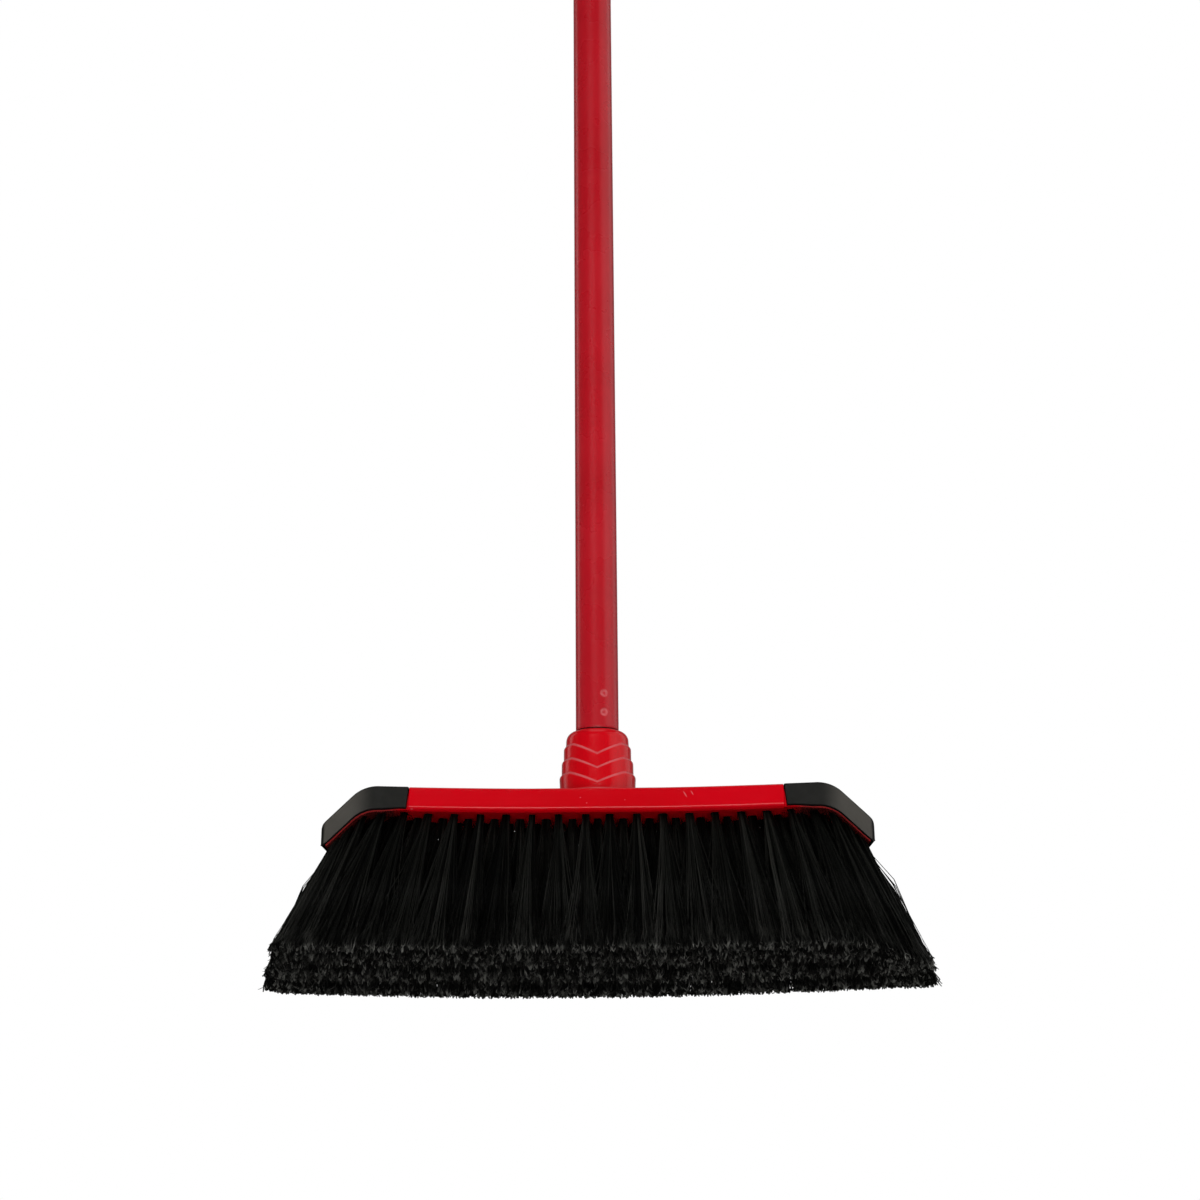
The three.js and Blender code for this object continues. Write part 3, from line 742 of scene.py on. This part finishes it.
def block_sections(stations):
    """The block's section at each station: whole, or slimmer under the bumpers."""
    whole = soften(
        [
            (-HALF_DEPTH, BLOCK_TOP, 1.6),
            (-HALF_DEPTH, -8.2, 0.2),
            (-HALF_DEPTH, -FACE_FOOT, 1.5),
            (UNDER_EDGE - HALF_DEPTH, -THICKNESS, 0.3),
            (HALF_DEPTH - UNDER_EDGE, -BACK_THICKNESS, 0.3),
            (HALF_DEPTH, 0.8 - BACK_THICKNESS * 0.9, 1.5),
            (HALF_DEPTH, -8.2, 0.2),
            (HALF_DEPTH, BLOCK_TOP, 1.6),
        ],
        5,
    )
    sections = []
    for distance in stations:
        if abs(distance) < bumper_start(distance) - 0.28:
            sections.append(whole)
            continue
        ledge = -bumper_foot(distance) - 0.2
        core = mirrored(
            [
                (1.9 - HALF_DEPTH, -1.9, 1.6),
                (1.9 - HALF_DEPTH, ledge, 0.05),
                (0.957 - HALF_DEPTH, ledge, 0.15),
                (1.6 - HALF_DEPTH, ledge - 0.55, 0.2),
            ]
        )
        sections.append(soften(core, 5))
    return sections


def brush_block():
    """The arched block in one piece with its socket, before the tufts' holes are cut."""
    end = distance_to(CORE_END)
    steps = []
    for side, start in BUMPER_STARTS.items():
        steps += [side * (start - 0.3), side * (start - 0.25)]
    clear = [s for s in arch_stations(-end, end) if abs(abs(s) - bumper_start(s)) > 0.6]
    stations = np.array(sorted(clear + steps))
    made = solid("block_arched", skin(sweep(stations, block_sections(stations))))
    combine(made, solid("socket", skin(socket_rings())), "UNION")
    return made


def tuft_holes(tufts):
    """One tool with a round hole for every tuft."""
    _, c, s = circle(20)
    points, faces = [], []
    for tuft in tufts:
        down, hole = tuft["down"], HOLE_RADII[tuft["row"]]
        side = np.cross(down, [0, 1, 0])
        side /= np.linalg.norm(side)
        other = np.cross(down, side)
        rings = []
        for drop, radius in ((-3.6, hole), (-0.25, hole), (1.6, hole + 0.5)):
            centre = tuft["root"] + drop * down
            rings.append(centre + radius * (c[:, None] * side + s[:, None] * other))
        more, quads = skin(rings)
        faces += [[i + len(points) for i in face] for face in quads]
        points += more.tolist()
    return solid("holes", (points, faces))


# ---- Bumpers -------------------------------------------------


def bumper(side):
    """A rubber cap over one end, open below and inwards, from walls swept along the arch."""
    corner, top, lift = 3.0, 1.6, 2.2
    start = BUMPER_STARTS[side]
    straight = arch_stations(start, distance_to(BUMPER_END - corner))
    rows = [(start, 0.5, 0.5, 0.0), (start + 0.25, 0.15, 0.15, 0.0)]
    rows += [(d + 0.8 if k == 0 else d, 0.0, 0.0, 0.0) for k, d in enumerate(straight)]
    for a in np.linspace(0, math.pi / 2, 12)[1:]:
        bend = 1 - math.cos(a)
        x = BUMPER_END - corner * (1 - math.sin(a))
        sunk = max(0.0, x - (BUMPER_END - top))
        drop = top - math.sqrt(max(0.0, top * top - sunk * sunk))
        rows.append((distance_to(x), corner * bend, drop, lift * bend))
    first, last = rows[0][0], rows[-1][0]
    inner_end = distance_to(BUMPER_END - BUMPER_WALL)
    rings = []
    for distance, narrower, drop, raised in rows:
        half = BUMPER_HALF - narrower
        edge = raised - bumper_foot(distance)
        crown = (-half, BUMPER_PROUD - drop, top)
        outside = mirrored([(-half - 5, edge, 0.01), (-half, edge, 1.0), crown])
        wall = BUMPER_WALL - half
        ceiling = (wall, BUMPER_PROUD - BUMPER_WALL, 0.8)
        inside = mirrored([(wall, edge - 5, 0.01), (wall, edge, 0.3), ceiling])
        within = first + (distance - first) * (inner_end - first) / (last - first)
        slant = BUMPER_SLANT * max(0.0, 1 - (distance - start) / 8) / 11
        walls = []
        for corners, place in ((outside, distance), (inside, within)):
            across, level = soften(corners, 6)[7:-7].T  # without the first and last corners
            x, z = arch_at(place)
            walls.append(np.stack([side * (x - slant * level), across, z + level], -1))
        rings.append(np.concatenate([walls[0], walls[1][::-1]]))
    points, faces = skin(rings, caps=(False, False))

    count = len(rings[0]) // 2  # of the places on each wall
    around = 2 * count
    base = (len(rings) - 1) * around
    faces += [[k, k + 1, around - 2 - k, around - 1 - k] for k in range(count - 1)]
    for k in range((count - 1) // 2):
        near, far = base + k, base + count - 1 - k
        faces.append([near, near + 1, far - 1, far])
        near, far = base + around - 1 - k, base + count + k
        faces.append([near, near - 1, far + 1, far])
    faces.append([base, base + count - 1, base + count, base + around - 1])
    name = "bumper_left_cap" if side < 0 else "bumper_right_cap"
    return shade(solid(name, (points, faces)), 40)


# ---- Bristles ------------------------------------------------

# Each tuple of four has one value for each row, from front to back.
ROW_PLACES = (-17.4, -5.8, 5.8, 17.4)
HOLE_RADII = (2.35, 2.35, 2.6, 3.0)
FANS = [math.radians(a) for a in (23.5, 24.5, 26.0, 27.5)]  # of the last tuft
STRAND_RADII = (0.2, 0.2, 0.23, 0.25)
BURST = (0.8, 1.0, 3.6, 10.0)  # how fast the tufts open under their holes
SPLIT_RADII = (0.32, 0.32, 0.32, 0.448)  # of the thin ends
UNEVEN_TIPS = (2.4, 1.6, 1.2, 1.0)

EVEN_TUFTS = (6.1, 20, 33.4, 46.8, 60, 73.4, 86.5, 99, 110.5, 120.5, 127.5, 133.8)
ODD_TUFTS = (13.2, 26.8, 40.2, 53.5, 66.8, 80, 93, 105, 115.8, 124.3, 131.0)
FAN_DEPTH = math.radians(10)

STRANDS = 134  # of a tuft
STRAND_STEPS = (0.0, 0.2, 0.5, 0.87, 1.0)  # shares of a strand's length
STRAND_TAPER = np.array([1, 1.05, 1.2, 1.1])
ROOT_DEPTH = 2.0  # how far a strand starts inside its hole
BUNDLES = (4, 3)  # across and along the depth of a tuft
BUNDLE_ROOT = (0.62, 0.34)  # shares of the hole that bundles and their strands spread over
BUNDLE_TIP = (3.6, 3.2)  # half width of a bundle at its tips
TIP_SPREAD = (8.4, 6.0)  # of the bundles from the middle of the tuft's tips
TIP_DEPTHS = (-36.2, 40.0)  # foremost and hindmost place of a tip
STRAY_BETWEEN = (-120, 122)  # roots of the tufts that have strays
STRAY_SHARE = 0.15
STRAY_REACH = 1.8
FAN_EDGE = 6  # width within which the outermost tips are held back
GATHER = 2.2  # how strongly a bundle's strands draw together on their way
BOW = 0.5  # how far a bundle bows aside
WANDER = 0.12
TONE_SPREAD = 0.15

SPLITS = 2  # thin ends that each strand frays into
SPLIT_TAPER = np.array([0.4, 0.6, 1, 0.8])
SPLIT_LENGTHS = (0.9, 0.94, 0.97, 1.0)  # what the UV map gives as their share of the length
CLUMP = 1.7  # pitch of the bunches that the ends gather in
CLUMP_PULL = 0.6
CLUMP_PLACES = np.random.default_rng(7).uniform(0, 1, (61, 61, 3))

TIP_LEVEL = -88.7  # of the tips right under the middle of the head
TRIM_SLOPE = 0.325
TRIM_DEPTHS = (-24, 31)  # between which the tips are trimmed at a slant
HANG = 11  # how much lower the front tips are at the right end
HANG_START = 126
HANG_WIDTH = 32
FAN_REACH = 133.7  # how far out the outermost strands leave the block
FAN_LEVEL = -22  # and at what level
FAN_SLOPE = 0.52  # how much further out they may be for each millimetre lower


def right_end(x):
    """How near a place is to the right end, from 0 to 1."""
    return np.clip((x - HANG_START) / HANG_WIDTH, 0, 1)


def tip_level(x, y):
    """Level of the trimmed tips under a place of the head."""
    front, back = TRIM_DEPTHS
    behind = np.clip((y - front) / (back - front), 0, 1)
    out = np.clip(x / 140, -1.25, 1.12)
    rise = (1.2 + 1.5 * behind) * out**2 + behind * (0.35 + 0.3 * out)
    corner = (0.5 - 0.3 * np.sign(x)) * np.clip((np.abs(x) - 162) / 14, 0, 1) ** 2
    hang = HANG * right_end(x) ** 1.4 * np.clip((-7 - y) / 13, 0, 1)
    return TIP_LEVEL - TRIM_SLOPE * np.clip(y, front, back) + rise + corner - hang


def fan_limit(x, y):
    """How far out the outermost tips reach, less at the front of the right side."""
    front = np.where(x > 0, np.clip((-12 - y) / 14, 0, 1), 0)
    less = (2.7 + 4.5 * right_end(x)) * front
    lower = tip_level(x, y) - FAN_LEVEL
    return FAN_REACH - lower * FAN_SLOPE + 0.13 * (y - TRIM_DEPTHS[0]) - less


def row_tufts(row):
    """The tufts of one row: root, direction of the hole, and the middle of the tips."""
    half = np.array(ODD_TUFTS if row % 2 else EVEN_TUFTS, float)
    places = np.concatenate([-half[::-1], [0.0] if row % 2 else [], half])
    y = ROW_PLACES[row]
    tufts = []
    for x in places:
        distance = distance_to(x)
        _, z = arch_at(distance)
        root = np.array([x, y, z - underside(distance, y)])
        lean = FANS[row] * np.sign(x) * (abs(x) / 134) ** 1.6
        deep = FAN_DEPTH * y / 17.4
        past = (abs(distance) - SHOULDER_REACH) / (SHOULDER_END - SHOULDER_REACH)
        first = np.sign(x) * max(abs(lean), 0.5 * DROOP * np.clip(past, 0, 1))
        down = np.array([math.tan(first), math.tan(deep) * 0.7, -1.0])
        down /= np.linalg.norm(down)
        tx, ty = x, y
        for _ in range(8):
            drop = root[2] - tip_level(tx, ty)
            tx = x + drop * math.tan(lean)
            ty = y + drop * math.tan(deep)
        tip = np.array([tx, ty, tip_level(tx, ty)])
        tufts.append({"row": row, "root": root, "down": down, "tip": tip})
    return tufts


def unit(vectors):
    return vectors / np.linalg.norm(vectors, axis=-1, keepdims=True)


def tuft_paths(tuft, rng):
    """Points of every strand of a tuft at the steps of its length, and each strand's tone."""
    count = STRANDS
    across, along = BUNDLES
    grid = np.stack(np.meshgrid(np.arange(across), np.arange(along)), -1).reshape(-1, 2)
    spots = (grid + rng.uniform(0.2, 0.8, grid.shape)) / [across, along] * 2 - 1
    bundle = np.arange(count) % len(spots)
    spot = spots[bundle]
    tones = rng.beta(1.7, 1.7, len(spots))
    turn = rng.uniform(0, 2 * math.pi, count)
    reach = np.sqrt(rng.uniform(0, 1, count))
    inside = np.stack([reach * np.cos(turn), reach * np.sin(turn)], -1)

    row, down = tuft["row"], tuft["down"]
    side = np.cross([0, 1, 0], down)
    side = unit(side) * np.sign(side[0])
    deep = np.cross(down, side)
    deep *= np.sign(deep[1])
    disc = spot * BUNDLE_ROOT[0] + inside * BUNDLE_ROOT[1]
    disc /= np.maximum(1, np.linalg.norm(disc, axis=1, keepdims=True))
    disc *= HOLE_RADII[row] - STRAND_RADII[row] - 0.05
    root = tuft["root"] + disc[:, :1] * side + disc[:, 1:] * deep

    low, high = STRAY_BETWEEN
    loose = STRAY_SHARE if low < tuft["root"][0] < high else 0.0
    stray = np.where(rng.uniform(0, 1, count) < loose, STRAY_REACH, 1.0)
    spread = spot * TIP_SPREAD + inside * BUNDLE_TIP
    tip_x = tuft["tip"][0] + spread[:, 0] * stray
    tip_y = tuft["tip"][1] + spread[:, 1]
    front, back = TIP_DEPTHS
    tip_y = front + np.abs(tip_y - front) * 0.999  # tips past the front are folded back
    tip_y = np.where(tip_y > back, back - rng.uniform(0, 2.5, count), tip_y)
    limit = fan_limit(tip_x, tip_y) - FAN_EDGE
    over = np.abs(tip_x) - limit
    held = np.sign(tip_x) * (limit + FAN_EDGE * np.tanh(over / 5))
    tip_x = np.where(over > 0, held, tip_x)
    level = tip_level(tip_x, tip_y) + rng.uniform(-0.6, 0.6, count)
    tip = np.stack([tip_x, tip_y, level], -1)

    length = np.linalg.norm(tip - root, axis=1, keepdims=True)
    burst = BURST[row] * rng.uniform(0.1, 1.9, (count, 1))
    start = down + (unit(tip - root) - unit(tuft["tip"] - tuft["root"])) * burst
    control = root + unit(start) * length * 0.32
    t = np.tile(STRAND_STEPS, (count, 1))[:, :, None]
    t[:, -2] += rng.uniform(-0.07, 0.05, (count, 1))
    path = (
        (1 - t) ** 2 * root[:, None]
        + 2 * t * (1 - t) * control[:, None]
        + t**2 * tip[:, None]
    )
    gather = (t * (1 - t) * (1.15 - t))[:, :, 0] * GATHER
    for axis in (0, 1):
        path[:, :, axis] -= gather * inside[:, axis : axis + 1] * BUNDLE_TIP[axis] * 0.62
    path[:, :, :2] += np.sin(math.pi * t) * rng.normal(0, BOW, (len(spots), 1, 2))[bundle]
    wander = rng.normal(0, WANDER, (count, len(STRAND_STEPS), 2))
    path[:, :, :2] += wander * np.minimum(1, t * 3)
    path[:, 0] -= ROOT_DEPTH * down
    tone = tones[bundle] * 0.9 + 0.05 + rng.normal(0, TONE_SPREAD, count)
    return path, np.clip(tone, 0.01, 0.98)


def frayed(path, tone, uneven, rng):
    """Thin, crimped ends that a strand splits into over its last stretch."""
    start = np.repeat(path[:, -2], SPLITS, axis=0)
    end = np.repeat(path[:, -1], SPLITS, axis=0)
    count = len(start)

    def strayed(place, spread):
        return place + rng.normal(0, spread, (count, 3)) * [1, 1, 0]

    bend = strayed(start + (end - start) * 0.5, 0.5)
    hook = strayed(start + (end - start) * 0.86, 0.8)
    end = strayed(hook, 1.0)
    corner = np.floor(end[:, :2] / CLUMP)
    column, line = (corner.astype(int) % len(CLUMP_PLACES)).T
    shift = CLUMP_PLACES[column, line]
    end[:, :2] += ((corner + shift[:, :2]) * CLUMP - end[:, :2]) * CLUMP_PULL
    for place in (hook, end):
        place[:, 1] = np.clip(place[:, 1], TIP_DEPTHS[0] - 0.5, TIP_DEPTHS[1] + 0.5)
    lump = CLUMP_PLACES[line, column, 2] - 0.5  # crossed, so that height and tone differ
    ragged = lump * 1.3 + rng.uniform(-0.35, 0.35, count)
    end[:, 2] = tip_level(end[:, 0], end[:, 1]) + ragged * uneven
    bunch = np.clip(shift[:, 2] ** 1.7 + rng.normal(0, 0.08, count), 0.01, 0.98)
    stem = np.repeat(tone, SPLITS)
    tones = np.stack([stem, stem, bunch, bunch], -1)
    return np.stack([start, bend, hook, end], axis=1), tones


def tube_arrays(path, widths, tone, along, phase):
    """Points, corner indices, face sizes and UVs of three-sided closed strands.

    The tone is one number for a strand, or one for each of its rings.
    """
    count, rings, _ = path.shape
    tones = np.broadcast_to(np.reshape(tone, (count, -1)), (count, rings))
    turn = phase[:, None] + np.arange(3)[None, :] * 2 * math.pi / 3
    around = np.stack([np.cos(turn), np.sin(turn), np.zeros_like(turn)], -1)
    points = path[:, :, None] + np.asarray(widths)[None, :, None, None] * around[:, None]
    strand = np.arange(count)[:, None, None] * rings * 3
    ring = np.arange(rings - 1)[None, :, None] * 3
    k = np.arange(3)[None, None, :]
    a = strand + ring + k
    b = strand + ring + (k + 1) % 3
    quads = np.stack([a, b, b + 3, a + 3], -1).reshape(-1)
    first = (np.arange(count) * rings * 3)[:, None]
    low = (first + [2, 1, 0]).reshape(-1)
    high = (first + (rings - 1) * 3 + [0, 1, 2]).reshape(-1)
    corners = np.concatenate([quads, low, high])
    face_sizes = np.concatenate([np.full(len(quads) // 4, 4), np.full(2 * count, 3)])
    u = tones.reshape(-1)[corners // 3] * 0.97 + 0.01 + 0.005 * (corners % 3)
    v = np.asarray(along)[(corners // 3) % rings]
    return points.reshape(-1, 3), corners, face_sizes, np.stack([u, v], -1)


def strand_mesh(name, arrays):
    """One mesh from several sets of strands, with tone and length as its UV map."""
    points = np.concatenate([a[0] for a in arrays])
    offsets = np.cumsum([0] + [len(a[0]) for a in arrays[:-1]])
    corners = np.concatenate([a[1] + off for a, off in zip(arrays, offsets)])
    face_sizes = np.concatenate([a[2] for a in arrays])
    uvs = np.concatenate([a[3] for a in arrays])
    starts = np.concatenate([[0], np.cumsum(face_sizes)[:-1]])
    placed = (points + [0, 0, HEAD_LEVEL]) * MM
    mesh = bpy.data.meshes.new(name)
    mesh.vertices.add(len(placed))
    mesh.vertices.foreach_set("co", placed.astype(np.float32).ravel())
    mesh.loops.add(len(corners))
    mesh.loops.foreach_set("vertex_index", corners.astype(np.int32))
    mesh.polygons.add(len(face_sizes))
    mesh.polygons.foreach_set("loop_start", starts.astype(np.int32))
    mesh.polygons.foreach_set("loop_total", face_sizes.astype(np.int32))
    mesh.update(calc_edges=True)
    layer = mesh.uv_layers.new(name="OFBake")
    layer.data.foreach_set("uv", uvs.astype(np.float32).ravel())
    mesh.validate()
    mesh.shade_smooth()
    return mesh


def bristle_row(row, tufts):
    """All strands of a row, each a tapering stem that frays into thin ends."""
    rng = np.random.default_rng(40 + row)
    paths, tones = zip(*(tuft_paths(tuft, rng) for tuft in tufts))
    path, tone = np.concatenate(paths), np.concatenate(tones)
    ends, end_tone = frayed(path, tone, UNEVEN_TIPS[row], rng)
    stem = path[:, :-1]
    phase = rng.uniform(0, 2 * math.pi, len(stem))
    end_phase = rng.uniform(0, 2 * math.pi, len(ends))
    widths = STRAND_RADII[row] * STRAND_TAPER
    end_widths = SPLIT_RADII[row] * SPLIT_TAPER
    arrays = [
        tube_arrays(stem, widths, tone, STRAND_STEPS[:-1], phase),
        tube_arrays(ends, end_widths, end_tone, SPLIT_LENGTHS, end_phase),
    ]
    name = f"bristles_{row + 1}"
    return new_object(name, strand_mesh(name, arrays))


# ---- Make the broom ------------------------------------------

enamel = painted_steel()
gloss = red_plastic()
black_rubber = rubber()
strand_black = fibre()
cap_black = plain_plastic("hanger_black", 0.010, 0.014, 0.42, 900)
insert_black = plain_plastic("insert_black", 0.012, 0.017, 0.45, 700)

dress(handle_tube(), "handle", ["handle_tube"], enamel)
dress(thread_insert(), "handle", ["thread_insert"], insert_black)
dress(hanger_cap(), "cap", ["hanger_cap"], cap_black)

rows = [row_tufts(row) for row in range(4)]
block = brush_block()
combine(block, tuft_holes([tuft for tufts in rows for tuft in tufts]), "DIFFERENCE")
shade(block, 32)
dress(block, "head", ["brush_block"], gloss)
for side, label in ((-1, "bumper_left"), (1, "bumper_right")):
    dress(bumper(side), "head", [label], black_rubber)
for row, tufts in enumerate(rows):
    made = bristle_row(row, tufts)
    dress(made, "head", [f"bristle_row_{row + 1}"], strand_black)

# ---- Stage, light and camera, in metres ----------------------

FLOOR_LEVEL = -1.75
FLOOR_RADIUS = 4.0
FLOOR_FADE = (1.6, 3.6)  # from the origin, between which the floor turns white
AMBIENT = 0.14


def for_rays(tree, path, other, glossy, camera):
    """A colour for each kind of ray."""
    unseen = mixed(tree, path.outputs["Is Glossy Ray"], other, glossy)
    return mixed(tree, path.outputs["Is Camera Ray"], unseen, camera)


def stage_floor():
    """A plain pale floor that fades into the white background round its edge."""
    made, tree, shader = new_material("stage_floor")
    away = vector_node(tree, "LENGTH", object_places(tree))["Value"]
    fade = span(tree, away, *FLOOR_FADE)
    path = node(tree, "LightPath")
    connect(tree, shader, for_rays(tree, path, grey(0.40), grey(0.03), grey(0.9)))
    shader.inputs["Roughness"].default_value = 0.9
    shader.inputs["Specular IOR Level"].default_value = 0.0
    glow = node(tree, "Emission", Strength=1.0)
    seen = product(tree, fade, path.outputs["Is Camera Ray"])
    both = node(tree, "MixShader", Fac=seen)
    tree.links.new(shader.outputs["BSDF"], both.inputs[1])
    tree.links.new(glow.outputs["Emission"], both.inputs[2])
    tree.links.new(both.outputs["Shader"], tree.nodes["Material Output"].inputs["Surface"])
    _, c, s = circle(96)
    ring = level_ring(c, s, FLOOR_RADIUS, FLOOR_LEVEL).tolist()
    mesh = bpy.data.meshes.new("stage_floor")
    mesh.from_pydata(ring, [], [list(range(len(ring)))])
    floor = new_object("stage_floor", mesh)
    mesh.materials.append(made)


def white_world():
    """White to the camera, dim as a light and in reflections, less so at the back."""
    world = bpy.data.worlds.new("studio")
    bpy.context.scene.world = world
    world.use_nodes = True
    tree = world.node_tree
    path = node(tree, "LightPath")
    direction = node(tree, "TexCoord").outputs["Generated"]
    above = span(tree, axes(tree, direction)["Z"], -0.1, 0.0)
    level_way = vector_node(tree, "MULTIPLY", direction, (1, 1, 0))["Vector"]
    compass = vector_node(tree, "NORMALIZE", level_way)["Vector"]
    ahead = span(tree, axes(tree, compass)["Y"], 0.7, 0.96)
    behind = product(tree, ahead, above)
    shiny = mixed(tree, behind, grey(0.03), grey(0.27))
    color = for_rays(tree, path, grey(AMBIENT), shiny, grey(1))
    tree.links.new(color, tree.nodes["Background"].inputs["Color"])


def softbox(name, place, target, width, height, watts, glossy=True, spread=180):
    """A rectangular light. A spread under 180 degrees keeps it off the floor."""
    data = bpy.data.lights.new(name, "AREA")
    data.spread = math.radians(spread)
    data.shape = "RECTANGLE"
    data.size, data.size_y = width, height
    data.energy = watts
    lamp = new_object(name, data)
    lamp.location = place
    towards = Vector(target) - Vector(place)
    lamp.rotation_euler = towards.to_track_quat("-Z", "Y").to_euler()
    lamp.visible_glossy = glossy
    lamp.visible_camera = False


stage_floor()
white_world()
softbox("key", (-1.0, -4.2, 1.0), (0, 0, -1.2), 2.4, 2.4, 104, glossy=False)
softbox("fill_front", (0.6, -3.2, -0.9), (0, 0, -1.0), 2.5, 2.5, 8, glossy=False)
softbox("under", (0, -0.7, -1.73), (0, -0.2, -1.3), 1.6, 0.8, 2.6, glossy=False, spread=70)
softbox("fill_right", (3.0, -1.2, -0.4), (0, 0, -0.7), 1.6, 2.4, 18, glossy=False)
softbox("fill_left", (-3.0, 0.2, -0.4), (0, 0, -0.7), 1.6, 2.4, 9, glossy=False)
softbox("right", (1.31, -0.46, -0.25), (0, 0, -0.25), 1.4, 1.9, 4.2)
softbox("right_back", (1.36, 0.63, -0.25), (0, 0, -0.25), 0.8, 1.9, 3.2)
softbox("left", (-1.64, 0.75, -0.25), (0, 0, -0.25), 0.5, 1.7, 2.6)
softbox("low", (0, -1.2, -1.62), (0, 0, -1.28), 2.4, 0.3, 0.65, spread=50)
softbox("top", (0, -0.3, 1.6), (0, 0, -1.2), 1.6, 2.0, 8)


CAMERA_PLACE = (0.00832, -0.9043, -1.43706)
CAMERA_TURNS = (-0.00702, 0.30787, -0.00776)  # yaw, pitch and roll
CAMERA_LENS = 52.5  # in millimetres


def photo_camera():
    """The camera that looks up at the head from a little below and in front."""
    cos_yaw, cos_pitch, cos_roll = (math.cos(turn) for turn in CAMERA_TURNS)
    sin_yaw, sin_pitch, sin_roll = (math.sin(turn) for turn in CAMERA_TURNS)
    forward = Vector((sin_yaw * cos_pitch, cos_yaw * cos_pitch, sin_pitch))
    right = Vector((cos_yaw, -sin_yaw, 0))
    up = right.cross(forward)
    across = cos_roll * right + sin_roll * up
    upward = -sin_roll * right + cos_roll * up
    data = bpy.data.cameras.new("camera")
    data.lens = CAMERA_LENS
    data.sensor_width = 36
    data.clip_start, data.clip_end = 0.01, 100
    made = new_object("camera", data)
    rotation = Matrix((across, upward, -forward)).transposed().to_4x4()
    made.matrix_world = Matrix.Translation(CAMERA_PLACE) @ rotation
    bpy.context.scene.camera = made


photo_camera()
bpy.context.scene.view_settings.view_transform = "Standard"
